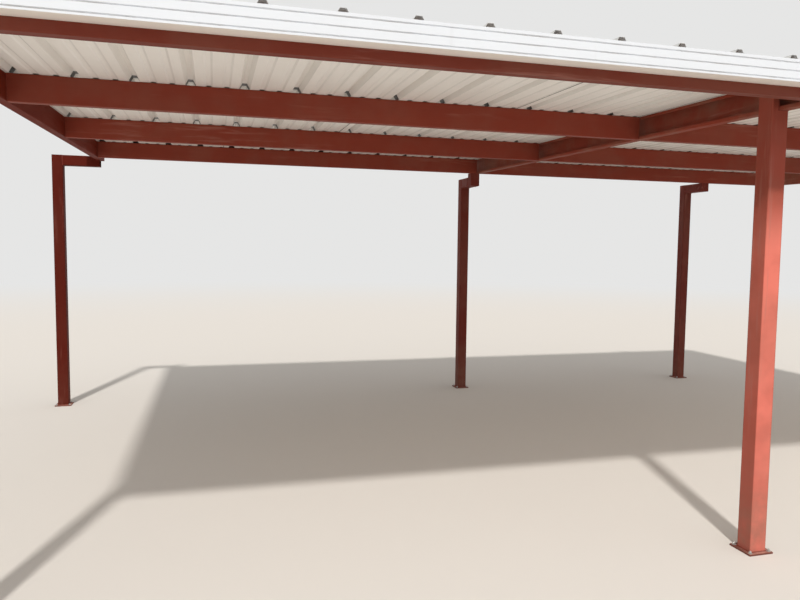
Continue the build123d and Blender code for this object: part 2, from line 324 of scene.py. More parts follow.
class GroupTree:
    """A node group with named inputs and outputs, built once and used in many places."""

    def __init__(self, name: str, kind: str = "ShaderNodeTree") -> None:
        """Makes the empty group.

        Args:
            name: The group's name.
            kind: Its tree type.
        """
        self.tree = bpy.data.node_groups.new(name, kind)
        self.sketch = NodeSketch(self.tree)
        self.entry = self.tree.nodes.new("NodeGroupInput")
        self.exit = self.tree.nodes.new("NodeGroupOutput")

    def input(self, name: str, kind: str = "NodeSocketFloat", value: Optional[Value] = None) -> Socket:
        """Adds a named input.

        Args:
            name: The input's name.
            kind: Its socket type.
            value: Its default value, if it has one.

        Returns:
            The socket inside the group.
        """
        item = self.tree.interface.new_socket(name, in_out="INPUT", socket_type=kind)
        if value is not None:
            item.default_value = value
        return self.entry.outputs[name]

    def output(self, name: str, source: Socket, kind: str = "NodeSocketFloat") -> None:
        """Adds a named output.

        Args:
            name: The output's name.
            source: The socket inside the group that feeds it.
            kind: Its socket type.
        """
        self.tree.interface.new_socket(name, in_out="OUTPUT", socket_type=kind)
        self.tree.links.new(source, self.exit.inputs[name])

    def mask(self, *layers: Socket) -> None:
        """Adds an Amount input and a Mask output, which is the amount times every layer.

        Args:
            *layers: Masks from 0 to 1.
        """
        product = layers[0]
        for layer in (*layers[1:], self.input("Amount", value=0.5)):
            product = self.sketch.math("MULTIPLY", product, layer, clamp=True)
        self.output("Mask", product)


class Effects:
    """Shader groups that several finishes share, each built when it is first asked for."""

    def __init__(self) -> None:
        """Starts with no group built."""
        self.built: dict[str, bpy.types.NodeTree] = {}

    def place(self, sketch: NodeSketch, effect: Callable, where: Value, **values: Value) -> bpy.types.Node:
        """Places an effect in a material.

        Args:
            sketch: The material's sketch.
            effect: The method that builds the effect's group.
            where: The coordinates that its pattern reads.
            **values: Its other inputs, by their names in small letters.

        Returns:
            The group's node.
        """
        name = effect.__name__
        if name not in self.built:
            group = GroupTree(name)
            effect(group, group.input("Vector", "NodeSocketVector"))
            self.built[name] = group.tree
        node = sketch.add("ShaderNodeGroup", node_tree=self.built[name])
        sketch.feed(node.inputs["Vector"], where)
        for key, value in values.items():
            sketch.feed(node.inputs[key.capitalize()], value)
        return node

    def mask(self, sketch: NodeSketch, effect: Callable, where: Value, **values: Value) -> Socket:
        """Places an effect in a material.

        Args:
            sketch: The material's sketch.
            effect: The method that builds the effect's group.
            where: The coordinates that its pattern reads.
            **values: Its other inputs, by their names in small letters.

        Returns:
            Its Mask output.
        """
        return self.place(sketch, effect, where, **values).outputs["Mask"]

    @staticmethod
    def mottled_film(group: GroupTree, where: Socket) -> None:
        """A paint film whose shade drifts in wide patches and fine specks.

        Args:
            group: The group, which gets a Colour and a Height output.
            where: Its coordinates.
        """
        colour = group.input("Colour", "NodeSocketColor")
        drift = group.input("Drift", value=0.2)
        peel = group.input("Peel", value=0.5)
        sketch = group.sketch
        wide = sketch.noise(where, scale=1.7, detail=2.0)
        patches = sketch.noise(where, scale=11.0)
        specks = sketch.noise(where, scale=190.0, detail=2.0)
        blend = sketch.math("MULTIPLY", wide, 0.5)
        for layer, share in ((patches, 0.35), (specks, 0.15)):
            blend = sketch.math("ADD", blend, sketch.math("MULTIPLY", layer, share))
        centred = sketch.math("SUBTRACT", blend, 0.5)
        factor = sketch.math("ADD", 1.0, sketch.math("MULTIPLY", centred, drift))
        scaled = sketch.add("ShaderNodeVectorMath", {0: colour, "Scale": factor}, operation="SCALE")
        skin = sketch.noise(where, scale=420.0, detail=2.0)
        group.output("Colour", scaled.outputs[0], "NodeSocketColor")
        group.output("Height", sketch.math("MULTIPLY", skin, peel))

    @staticmethod
    def settled_dust(group: GroupTree, where: Socket) -> None:
        """Dust that lies on faces that look up.

        Args:
            group: The group, which gets a Mask output.
            where: Its coordinates.
        """
        sketch = group.sketch
        lying = sketch.fade(sketch.facing("Z"), 0.35, 0.95)
        clouds = sketch.fade(sketch.noise(where, scale=6.0, detail=5.0, rough=0.65), 0.3, 0.75)
        group.mask(lying, clouds)

    @staticmethod
    def rain_streaks(group: GroupTree, where: Socket) -> None:
        """Thin runs of dirt, drawn out along one direction.

        Args:
            group: The group, which gets a Mask output.
            where: Its coordinates, shrunk along the runs.
        """
        sketch = group.sketch
        runs = sketch.fade(sketch.noise(where, scale=26.0, rough=0.6), 0.55, 0.78)
        gate = sketch.fade(sketch.noise(where, scale=3.0, detail=1.0), 0.4, 0.65)
        group.mask(runs, gate)

    @staticmethod
    def handling_scuffs(group: GroupTree, where: Socket) -> None:
        """Pale rub marks along a member, from stacking and lifting.

        Args:
            group: The group, which gets a Mask output.
            where: Its coordinates, shrunk along the member.
        """
        sketch = group.sketch
        lines = sketch.fade(sketch.noise(where, scale=32.0, rough=0.6), 0.5, 0.74)
        spots = sketch.fade(sketch.noise(where, scale=7.5, detail=1.0), 0.5, 0.64)
        group.mask(lines, spots)

    @staticmethod
    def foot_splash(group: GroupTree, where: Socket) -> None:
        """A film of dried splashes low down on a post, fading upwards.

        Args:
            group: The group, which gets a Reach input and a Mask output.
            where: Its coordinates.
        """
        reach = group.input("Reach", value=0.35)
        sketch = group.sketch
        low = sketch.fade(sketch.part(where, "Z"), reach, 0.0)
        clouds = sketch.noise(where, scale=11.0, detail=4.0, rough=0.6)
        group.mask(low, sketch.fade(clouds, 0.3, 0.7, 0.35, 1.0))

    @staticmethod
    def sun_fading(group: GroupTree, where: Socket) -> None:
        """Painted sunlight below the eave's shadow line, on the faces that look towards the key light,
        together with the fading that sunlight gives real paint.

        Args:
            group: The group, which gets an Eave input and a Mask output.
            where: Its coordinates.
        """
        eave = group.input("Eave", value=2.0)
        sketch = group.sketch
        facing = sketch.add("ShaderNodeNewGeometry").outputs["Normal"]
        key_facing = sketch.fade(sketch.dot(facing, (-0.6, -0.8, 0.0)), 0.35, 0.85)
        under_eave = sketch.math("SUBTRACT", eave, sketch.part(where, "Z"))
        below = sketch.fade(under_eave, 0.0, 0.35, 0.15, 1.0)
        patches = sketch.fade(sketch.noise(where, scale=4.0), 0.3, 0.62, 0.72, 1.0)
        group.mask(key_facing, patches, below)

    @staticmethod
    def worn_edges(group: GroupTree, where: Socket) -> None:
        """Paint rubbed thin along sharp edges and paler there, which also serves as a painted highlight.

        Args:
            group: The group, which gets a Mask output.
            where: Its coordinates.
        """
        sketch = group.sketch
        rounded = sketch.add("ShaderNodeBevel", {"Radius": 2.2 * MM}, samples=4).outputs[0]
        facing = sketch.add("ShaderNodeNewGeometry").outputs["Normal"]
        edge = sketch.fade(sketch.dot(rounded, facing), 0.995, 0.86)
        broken = sketch.fade(sketch.noise(where, scale=34.0, detail=4.0, rough=0.7), 0.45, 0.7)
        group.mask(edge, broken)


EFFECTS = Effects()


@dataclass(frozen=True)
class Finish:
    """What every finish has: a name, and a material that is built once."""

    name: str

    def material(self) -> bpy.types.Material:
        """Finds the finish's material, or builds it.

        Returns:
            The material.
        """
        found = bpy.data.materials.get(self.name)
        if found:
            return found
        made = bpy.data.materials.new(self.name)
        made.use_nodes = True
        made.node_tree.nodes.clear()
        sketch = NodeSketch(made.node_tree)
        shader = sketch.add("ShaderNodeBsdfPrincipled")
        where = sketch.add("ShaderNodeTexCoord").outputs["Object"]
        self.dress(sketch, shader, where)
        sketch.add("ShaderNodeOutputMaterial", {"Surface": shader.outputs[0]})
        return made

    def dress(self, sketch: NodeSketch, shader: bpy.types.Node, where: Socket) -> None:
        """Feeds the shader. Each finish has its own way.

        Args:
            sketch: The material's sketch.
            shader: The Principled shader.
            where: The object coordinates.
        """
        raise NotImplementedError

    @staticmethod
    def dull(sketch: NodeSketch, shader: bpy.types.Node, base: Value, dust: Socket, gain: float) -> None:
        """Gives the shader its roughness, which rises under dust.

        Args:
            sketch: The material's sketch.
            shader: The Principled shader.
            base: The roughness where no dust lies.
            dust: The dust's mask.
            gain: What full dust adds.
        """
        rough = sketch.math("ADD", base, sketch.math("MULTIPLY", dust, gain), clamp=True)
        sketch.feed(shader.inputs["Roughness"], rough)

    @staticmethod
    def relief(sketch: NodeSketch, shader: bpy.types.Node, height: Socket, depth: float) -> None:
        """Gives the shader a bump.

        Args:
            sketch: The material's sketch.
            shader: The Principled shader.
            height: The height's socket, 0 to 1.
            depth: What a height of 1 stands for, in metres.
        """
        bump = sketch.add("ShaderNodeBump", {"Height": height, "Distance": depth, "Strength": 1.0})
        sketch.feed(shader.inputs["Normal"], bump.outputs[0])


@dataclass(frozen=True)
class RedOxidePaint(Finish):
    """Red oxide paint on cold-formed steel: satin, lightly mottled, scuffed along the member."""

    grain: Grain = Grain.NONE
    colour: Colour = (0.232, 0.0385, 0.0205)
    # A paler red for the scuffs and the sharp edges; on the edges it is also a painted highlight.
    worn: Colour = (0.40, 0.185, 0.145)
    # A paler red for the painted sunlight on the front posts, which also stands for real fading.
    faded: Colour = (0.84, 0.222, 0.165)
    dust: Colour = (0.42, 0.32, 0.25)
    silt: Colour = (0.24, 0.135, 0.095)
    drift: float = 0.5
    scuffs: float = 0.42
    edge_wear: float = 0.35
    haze: float = 0.15
    settled: float = 0.55
    shine: float = 0.16
    gloss: Span = (0.56, 0.7)
    splash: float = 0.0
    splash_reach: float = 0.7
    # How strong the painted sunlight is; 0 leaves it out.
    sun: float = 0.0
    eave: float = 2.02
    relief_depth: float = 1.1 * MM

    def dress(self, sketch: NodeSketch, shader: bpy.types.Node, where: Socket) -> None:
        """Mottled paint, then painted sunlight with its fading, a brown haze, scuffs, rubbed edges that
        carry a painted highlight, dust and splashes.

        Args:
            sketch: The material's sketch.
            shader: The Principled shader.
            where: The object coordinates.
        """
        along = sketch.stretch(where, self.grain.value)
        film = EFFECTS.place(
            sketch, EFFECTS.mottled_film, along, colour=self.colour, drift=self.drift, peel=0.6
        )
        scuff = EFFECTS.mask(sketch, EFFECTS.handling_scuffs, along, amount=self.scuffs)
        # Paler sharp edges: rubbed paint and a painted highlight.
        edge = EFFECTS.mask(sketch, EFFECTS.worn_edges, where, amount=self.edge_wear)
        lying = EFFECTS.mask(sketch, EFFECTS.settled_dust, where, amount=self.settled)
        clouds = sketch.noise(where, scale=2.6, detail=4.0, rough=0.6)
        hazy = sketch.fade(clouds, 0.38, 0.66, 0.0, self.haze)
        layers = [(hazy, self.silt), (scuff, self.worn), (edge, self.worn), (lying, self.dust)]
        # Painted sunlight below the eave's shadow line, also standing for fading.
        if self.sun:
            sunlit = EFFECTS.mask(sketch, EFFECTS.sun_fading, where, amount=self.sun, eave=self.eave)
            layers.insert(0, (sunlit, self.faded))
        if self.splash:
            wet = EFFECTS.mask(
                sketch, EFFECTS.foot_splash, where, amount=self.splash, reach=self.splash_reach
            )
            layers.append((wet, self.silt))
        sketch.feed(shader.inputs["Base Color"], sketch.coat(film.outputs["Colour"], layers))
        self.dull(sketch, shader, sketch.fade(sketch.noise(along, 14.0), 0.3, 0.7, *self.gloss), lying, 0.3)
        shader.inputs["Specular IOR Level"].default_value = self.shine
        waves = sketch.noise(along, scale=9.0, detail=1.0)
        height = sketch.math("ADD", waves, sketch.math("MULTIPLY", film.outputs["Height"], 0.12))
        self.relief(sketch, shader, height, self.relief_depth)


@dataclass(frozen=True)
class BakedWhiteSheet(Finish):
    """Baked white paint on the roof sheets, with a beige wash coat on the underside."""

    plane: RoofPlane
    top: Colour = (0.76, 0.76, 0.74)
    underside: Colour = (0.90, 0.87, 0.825)
    dirt: Colour = (0.32, 0.27, 0.22)
    # Painted shade on the ribs' sides that face left, and painted light on those that face right.
    crease_dirt: Colour = (0.30, 0.29, 0.27)
    crease_amount: float = 0.22
    clean: Colour = (0.97, 0.95, 0.92)
    clean_amount: float = 0.6
    # Near-black painted shade inside the ribs over the purlins.
    grime: Colour = (0.04, 0.034, 0.024)
    grime_ahead: float = 7 * MM
    grime_fade: float = 14 * MM
    grime_lift: Span = (1.5 * MM, 5 * MM)
    dust_amount: float = 0.16
    dust_scale: Triple = (1.0, 0.4, 1.0)
    runs_amount: float = 0.05
    gloss: Span = (0.38, 0.5)
    relief_depth: float = 4 * MM

    def rib_sides(self, sketch: NodeSketch) -> list[Layer]:
        """Finds the ribs' sides that face left, which get painted shade, and those that face right, which
        get painted light.

        Args:
            sketch: The material's sketch.

        Returns:
            The painted shade's layer and the painted light's layer.
        """
        aside = sketch.facing("X")
        shaded_flank = sketch.fade(aside, -0.1, -0.3, 0.0, self.crease_amount)
        lit_flank_mask = sketch.fade(aside, 0.1, 0.3, 0.0, self.clean_amount)
        return [(shaded_flank, self.crease_dirt), (lit_flank_mask, self.clean)]

    def tunnels(self, sketch: NodeSketch, where: Socket) -> Socket:
        """Finds the insides of the ribs over each purlin, where shade is painted.

        Args:
            sketch: The material's sketch.
            where: The object coordinates.

        Returns:
            The mask's socket.
        """
        plane = self.plane
        pitch = plane.rows[1] - plane.rows[0]
        along = sketch.math("SUBTRACT", sketch.dot(where, plane.ahead), plane.foot.dot(plane.ahead))
        lift = sketch.math("SUBTRACT", sketch.dot(where, plane.out), plane.foot.dot(plane.out))
        past = sketch.math("MODULO", sketch.math("ADD", along, pitch + self.grime_ahead), pitch)
        over = sketch.fade(past, plane.flange + self.grime_fade, plane.flange)
        inside = sketch.fade(lift, *self.grime_lift)
        beyond_beam = sketch.math("GREATER_THAN", along, pitch / 2)
        return sketch.math("MULTIPLY", sketch.math("MULTIPLY", over, inside), beyond_beam)

    def dress(self, sketch: NodeSketch, shader: bpy.types.Node, where: Socket) -> None:
        """White above and beige below, with dust in the pans, painted light and shade on the ribs' sides,
        and painted shade inside the ribs over the purlins.

        Args:
            sketch: The material's sketch.
            shader: The Principled shader.
            where: The object coordinates.
        """
        along = sketch.stretch(where, Grain.UP_SLOPE.value)
        flow = sketch.stretch(where, self.dust_scale)
        above = sketch.fade(sketch.facing("Z"), -0.02, 0.02)
        base = sketch.mix(above, self.underside, self.top)
        film = EFFECTS.place(sketch, EFFECTS.mottled_film, where, colour=base, drift=0.1, peel=0.25)
        dust = EFFECTS.mask(sketch, EFFECTS.settled_dust, flow, amount=self.dust_amount)
        runs = EFFECTS.mask(sketch, EFFECTS.rain_streaks, along, amount=self.runs_amount)
        below = sketch.math("SUBTRACT", 1.0, above)
        # Painted shade inside the ribs over the purlins, on the underside only.
        tunnel_shade_mask = sketch.math("MULTIPLY", self.tunnels(sketch, where), below)
        # The rib flanks' layers are painted light and shade, and the last layer is painted shade inside the
        # ribs.
        layers = [(dust, self.dirt), (runs, self.dirt), *self.rib_sides(sketch), (tunnel_shade_mask, self.grime)]
        sketch.feed(shader.inputs["Base Color"], sketch.coat(film.outputs["Colour"], layers))
        self.dull(sketch, shader, sketch.fade(sketch.noise(along, 8.0), 0.3, 0.7, *self.gloss), dust, 0.6)
        pans = sketch.noise(flow, scale=3.2, detail=1.0)
        height = sketch.math("ADD", pans, sketch.math("MULTIPLY", film.outputs["Height"], 0.05))
        self.relief(sketch, shader, height, self.relief_depth)


@dataclass(frozen=True)
class GutterEnamel(Finish):
    """Smooth white enamel of the gutter, downspout and trims."""

    colour: Colour = (0.77, 0.795, 0.83)
    # Creamy colour on the faces that look down: painted warm bounced light.
    underside: Colour = (0.98, 0.94, 0.87)
    dirt: Colour = (0.27, 0.22, 0.16)
    silt: float = 0.75
    runs_amount: float = 0.07
    runs_scale: Triple = (1.0, 1.0, 0.12)
    waves_scale: Triple = (0.5, 1.0, 1.0)
    roughness: float = 0.3
    relief_depth: float = 1.6 * MM

    def dress(self, sketch: NodeSketch, shader: bpy.types.Node, where: Socket) -> None:
        """White enamel with a creamy painted glow of bounced light underneath, silt where it lies flat and
        faint runs down its faces.

        Args:
            sketch: The material's sketch.
            shader: The Principled shader.
            where: The object coordinates.
        """
        # The faces that look down get a creamy painted glow of bounced light.
        below = sketch.fade(sketch.facing("Z"), -0.96, -0.995)
        base = sketch.mix(below, self.colour, self.underside)
        film = EFFECTS.place(sketch, EFFECTS.mottled_film, where, colour=base, drift=0.08, peel=0.2)
        down = sketch.stretch(where, self.runs_scale)
        silt = EFFECTS.mask(sketch, EFFECTS.settled_dust, where, amount=self.silt)
        runs = EFFECTS.mask(sketch, EFFECTS.rain_streaks, down, amount=self.runs_amount)
        layers = [(silt, self.dirt), (runs, self.dirt)]
        sketch.feed(shader.inputs["Base Color"], sketch.coat(film.outputs["Colour"], layers))
        self.dull(sketch, shader, self.roughness, silt, 0.5)
        waves = sketch.noise(sketch.stretch(where, self.waves_scale), scale=5.0, detail=1.0)
        self.relief(sketch, shader, waves, self.relief_depth)


@dataclass(frozen=True)
class ZincPlate(Finish):
    """Bright zinc plate on screws, nuts and studs, dulled in patches."""

    colour: Colour = (0.62, 0.62, 0.60)
    dull_colour: Colour = (0.40, 0.39, 0.37)
    relief_depth: float = 0.4 * MM

    def dress(self, sketch: NodeSketch, shader: bpy.types.Node, where: Socket) -> None:
        """Metal with dull patches of white rust and fine turning marks.

        Args:
            sketch: The material's sketch.
            shader: The Principled shader.
            where: The object coordinates.
        """
        patches = sketch.fade(sketch.noise(where, scale=260.0, detail=4.0), 0.42, 0.66)
        film = EFFECTS.place(
            sketch, EFFECTS.mottled_film, where, colour=self.colour, drift=0.3, peel=0.4
        )
        shade = sketch.mix(patches, film.outputs["Colour"], self.dull_colour)
        sketch.feed(shader.inputs["Base Color"], shade)
        sketch.feed(shader.inputs["Metallic"], sketch.fade(patches, 0.0, 1.0, 1.0, 0.35))
        sketch.feed(shader.inputs["Roughness"], sketch.fade(patches, 0.0, 1.0, 0.3, 0.6))
        self.relief(sketch, shader, film.outputs["Height"], self.relief_depth)


@dataclass(frozen=True)
class SoftSeal(Finish):
    """Rubber, foam or sealant: matt, with a lumpy skin."""

    colour: Colour = (0.03, 0.03, 0.03)
    roughness: float = 0.8
    lumps: float = 150.0
    depth: float = 0.6 * MM
    dust: Colour = (0.3, 0.26, 0.21)
    dust_amount: float = 0.3

    def dress(self, sketch: NodeSketch, shader: bpy.types.Node, where: Socket) -> None:
        """A matt skin whose shade and height vary in small lumps.

        Args:
            sketch: The material's sketch.
            shader: The Principled shader.
            where: The object coordinates.
        """
        film = EFFECTS.place(
            sketch, EFFECTS.mottled_film, where, colour=self.colour, drift=0.8, peel=0.8
        )
        dusty = EFFECTS.mask(sketch, EFFECTS.settled_dust, where, amount=self.dust_amount)
        sketch.feed(shader.inputs["Base Color"], sketch.mix(dusty, film.outputs["Colour"], self.dust))
        shader.inputs["Roughness"].default_value = self.roughness
        self.relief(sketch, shader, sketch.noise(where, self.lumps, detail=2.0), self.depth)


@dataclass(frozen=True)
class Spot:
    """A point that carries one small part, and the way that part faces."""

    place: Vector
    facing: Vector


@dataclass(frozen=True)
class Ring:
    """One ring of a small turned part: its radius and its height."""

    radius: float
    height: float


def rings(pairs: Sequence[tuple[float, float]], base: float = 0.0) -> list[Ring]:
    """Reads the rings of a turned part from plain numbers.

    Args:
        pairs: Each ring's radius and height, in millimetres.
        base: Where the heights are counted from, in metres.

    Returns:
        The rings, in metres.
    """
    return [Ring(radius * MM, base + height * MM) for radius, height in pairs]


def thread(root: float, crest: float, pitch: float, turns: int) -> list[Ring]:
    """Gives the rings of a thread, from its first crest to its last root.

    Args:
        root: The radius between the crests.
        crest: The radius of the crests.
        pitch: From one crest to the next.
        turns: How many crests there are.

    Returns:
        The rings.
    """
    pairs = [(Ring(crest, (turn + 0.5) * pitch), Ring(root, (turn + 1) * pitch)) for turn in range(turns)]
    return [ring for pair in pairs for ring in pair]


def add_object(name: str, data: bpy.types.ID) -> bpy.types.Object:
    """Makes an object at the origin and links it to the scene.

    Args:
        name: The object's name.
        data: Its mesh, lamp or camera.

    Returns:
        The object.
    """
    made = bpy.data.objects.new(name, data)
    bpy.context.scene.collection.objects.link(made)
    return made


def skin(shape: bmesh.types.BMesh, loops: Sequence[Sequence[bmesh.types.BMVert]]) -> None:
    """Closes a skin over loops of corners, with a face at each end.

    Args:
        shape: The mesh that holds the corners.
        loops: The loops in order, each anticlockwise as seen from the last one.
    """
    for lower, upper in zip(loops, loops[1:]):
        for side in range(len(lower)):
            onward = (side + 1) % len(lower)
            shape.faces.new((lower[side], lower[onward], upper[onward], upper[side]))
    shape.faces.new(reversed(loops[0]))
    shape.faces.new(loops[-1])


def finished(name: str, shape: bmesh.types.BMesh) -> bpy.types.Object:
    """Turns a finished shape into an object.

    Args:
        name: The name of the object and of its mesh.
        shape: The shape, which is freed.

    Returns:
        The object, linked to the scene.
    """
    mesh = bpy.data.meshes.new(name)
    shape.to_mesh(mesh)
    shape.free()
    return add_object(name, mesh)


def declare(piece: bpy.types.Object) -> None:
    """Attaches a new piece to the body that it rides on, and logs it.

    Args:
        piece: The finished piece.
    """
    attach(piece, BODY)
    log.info("made %s, %d faces", piece.name, len(piece.data.polygons))


def turned_part(name: str, stacks: Sequence[tuple[int, Sequence[Ring]]]) -> bpy.types.Object:
    """Makes a small closed part from stacks of rings about Z.

    Args:
        name: The part's name.
        stacks: For each stack its number of sides, and its rings from the bottom up.

    Returns:
        The part's object, linked to the scene.
    """
    shape = bmesh.new()
    for sides, stack in stacks:
        turns = [2 * math.pi * side / sides for side in range(sides)]
        loops = []
        for ring in stack:
            corners = [(ring.radius * math.cos(t), ring.radius * math.sin(t), ring.height) for t in turns]
            loops.append([shape.verts.new(corner) for corner in corners])
        skin(shape, loops)
    return finished(name, shape)


class FittingTree:
    """A Geometry Nodes tree that turns marks on the frame into fitted parts."""

    title = "fitting"

    def __init__(self) -> None:
        """Builds the tree."""
        self.group = GroupTree(self.title, "GeometryNodeTree")
        self.build(self.group.sketch)

    def build(self, sketch: NodeSketch) -> None:
        """Writes the tree's nodes. Each tree has its own.

        Args:
            sketch: The tree's sketch.
        """
        raise NotImplementedError

    def end(self, sketch: NodeSketch, geometry: Socket) -> None:
        """Ends the tree: instances made real, then the material set.

        Args:
            sketch: The tree's sketch.
            geometry: The geometry so far.
        """
        material = self.group.input("Material", "NodeSocketMaterial")
        real = sketch.add("GeometryNodeRealizeInstances", {0: geometry}).outputs[0]
        dressed = sketch.add("GeometryNodeSetMaterial", {"Geometry": real, "Material": material})
        self.group.output("Geometry", dressed.outputs[0], "NodeSocketGeometry")

    def make(self, marks: bpy.types.Mesh, finish: Finish, slot: Slot, values: dict) -> bpy.types.Object:
        """Runs the tree on marks and keeps the result as a plain mesh.

        Args:
            marks: The points or edges that the parts are set on, named as the piece will be.
            finish: The piece's finish.
            slot: Not used.
            values: The tree's inputs, by name.

        Returns:
            The finished piece.
        """
        piece = add_object(marks.name, marks)
        modifier = piece.modifiers.new(self.title, "NODES")
        modifier.node_group = self.group.tree
        given = values | {"Material": finish.material()}
        for item in self.group.tree.interface.items_tree:
            if item.in_out == "INPUT" and item.name in given:
                modifier[item.identifier] = given[item.name]
        graph = bpy.context.evaluated_depsgraph_get()
        made = bpy.data.meshes.new_from_object(piece.evaluated_get(graph))
        piece.modifiers.clear()
        piece.data = made
        bpy.data.meshes.remove(marks)
        made.name = piece.name
        declare(piece)
        return piece


class PartScatter(FittingTree):
    """Sets one small part on every mark, turned to face the mark's own way."""

    title = "part_scatter"

    def build(self, sketch: NodeSketch) -> None:
        """Instances on points, aligned to the facing, each with its own random turn.

        Args:
            sketch: The tree's sketch.
        """
        marks = self.group.input("Marks", "NodeSocketGeometry")
        part = self.group.input("Part", "NodeSocketObject")
        spin = self.group.input("Spin", value=math.pi)
        seed = self.group.input("Seed", "NodeSocketInt", 1)
        shape = sketch.add("GeometryNodeObjectInfo", {"Object": part}).outputs["Geometry"]
        facing = sketch.add("GeometryNodeInputNamedAttribute", {"Name": "facing"}, data_type="FLOAT_VECTOR")
        aligned = sketch.add(
            "FunctionNodeAlignRotationToVector", {"Vector": facing.outputs["Attribute"]}, axis="Z"
        ).outputs[0]
        chance = sketch.add("FunctionNodeRandomValue", {2: 0.0, 3: spin, "Seed": seed}, data_type="FLOAT")
        turn = sketch.add("FunctionNodeAxisAngleToRotation", {"Angle": chance.outputs[1]}).outputs[0]
        turned = sketch.add(
            "FunctionNodeRotateRotation", {"Rotation": aligned, "Rotate By": turn}, rotation_space="LOCAL"
        ).outputs[0]
        placed = sketch.add(
            "GeometryNodeInstanceOnPoints", {"Points": marks, "Instance": shape, "Rotation": turned}
        ).outputs[0]
        self.end(sketch, placed)

    def set_on(
        self, name: str, spots: Sequence[Spot], part: bpy.types.Object, finish: Finish, slot: Slot,
        spin: float = math.pi, seed: int = 1,
    ) -> bpy.types.Object:
        """Sets a part on every spot.

        Args:
            name: The piece's name.
            spots: Where the parts stand and how they face.
            part: The part, which is removed once it has been copied.
            finish: The piece's finish.
            slot: The record's slot.
            spin: The widest random turn about the facing, in radians.
            seed: The random turn's seed.

        Returns:
            The finished piece.
        """
        marks = bpy.data.meshes.new(name)
        marks.from_pydata([spot.place for spot in spots], [], [])
        facing = marks.attributes.new("facing", "FLOAT_VECTOR", "POINT")
        facing.data.foreach_set("vector", [number for spot in spots for number in spot.facing])
        piece = self.make(marks, finish, slot, {"Part": part, "Spin": spin, "Seed": seed})
        template = part.data
        bpy.data.objects.remove(part)
        bpy.data.meshes.remove(template)
        return piece


class BeadRun(FittingTree):
    """Lays a rippled bead along marked edges, as a welder does."""

    title = "bead_run"
    point_spacing = 0.4
    wander_scale = 90.0
    wander_span = (0.8, 1.15)

    def build(self, sketch: NodeSketch) -> None:
        """Edges to curves, points along them, and a round section that swells with each ripple.

        Args:
            sketch: The tree's sketch.
        """
        marks = self.group.input("Marks", "NodeSocketGeometry")
        radius = self.group.input("Radius", value=0.004)
        pitch = self.group.input("Pitch", value=0.006)
        ripple = self.group.input("Ripple", value=0.12)
        sides = self.group.input("Sides", "NodeSocketInt", 6)
        curve = sketch.add("GeometryNodeMeshToCurve", {"Mesh": marks}).outputs[0]
        step = sketch.math("MULTIPLY", pitch, self.point_spacing)
        inputs = {"Curve": curve, "Length": step}
        points = sketch.add("GeometryNodeResampleCurve", inputs, mode="LENGTH").outputs[0]
        place = sketch.add("GeometryNodeInputPosition").outputs[0]
        wander = sketch.noise(place, self.wander_scale, detail=2.0)
        along = sketch.add("GeometryNodeSplineParameter").outputs["Length"]
        phase = sketch.math("DIVIDE", sketch.math("MULTIPLY", along, 2 * math.pi), pitch)
        wave = sketch.math("MULTIPLY", sketch.math("SINE", phase), ripple)
        swell = sketch.math("ADD", wave, sketch.fade(wander, 0.3, 0.7, *self.wander_span))
        circle = {"Resolution": sides, "Radius": radius}
        section = sketch.add("GeometryNodeCurvePrimitiveCircle", circle).outputs[0]
        inputs = {"Curve": points, "Profile Curve": section, "Scale": swell, "Fill Caps": True}
        self.end(sketch, sketch.add("GeometryNodeCurveToMesh", inputs).outputs[0])

    def lay(
        self, name: str, routes: Sequence[Route], finish: Finish, slot: Slot,
        radius: float, pitch: float = 0.006, ripple: float = 0.12,
    ) -> bpy.types.Object:
        """Lays one bead along each route.

        Args:
            name: The piece's name.
            routes: The routes' points. One that ends where it starts is closed.
            finish: The bead's finish.
            slot: The record's slot.
            radius: The bead's mean radius.
            pitch: From one ripple to the next.
            ripple: How far a ripple swells the bead, as a share of its radius.

        Returns:
            The finished piece.
        """
        corners, edges = [], []
        for route in routes:
            first = len(corners)
            closed = (route[0] - route[-1]).length < MM
            kept = route[:-1] if closed else route
            corners += kept
            edges += [(first + index, first + index + 1) for index in range(len(kept) - 1)]
            if closed:
                edges.append((first + len(kept) - 1, first))
        marks = bpy.data.meshes.new(name)
        marks.from_pydata(corners, edges, [])
        values = {"Radius": radius, "Pitch": pitch, "Ripple": ripple}
        piece = self.make(marks, finish, slot, values)
        piece.data.shade_smooth()
        return piece


def dress_node(node: bpy.types.Object, finish: Finish) -> None:
    """Gives a frame node its finish.

    Args:
        node: The node's object.
        finish: The finish.
    """
    node.data.materials.clear()
    node.data.materials.append(finish.material())


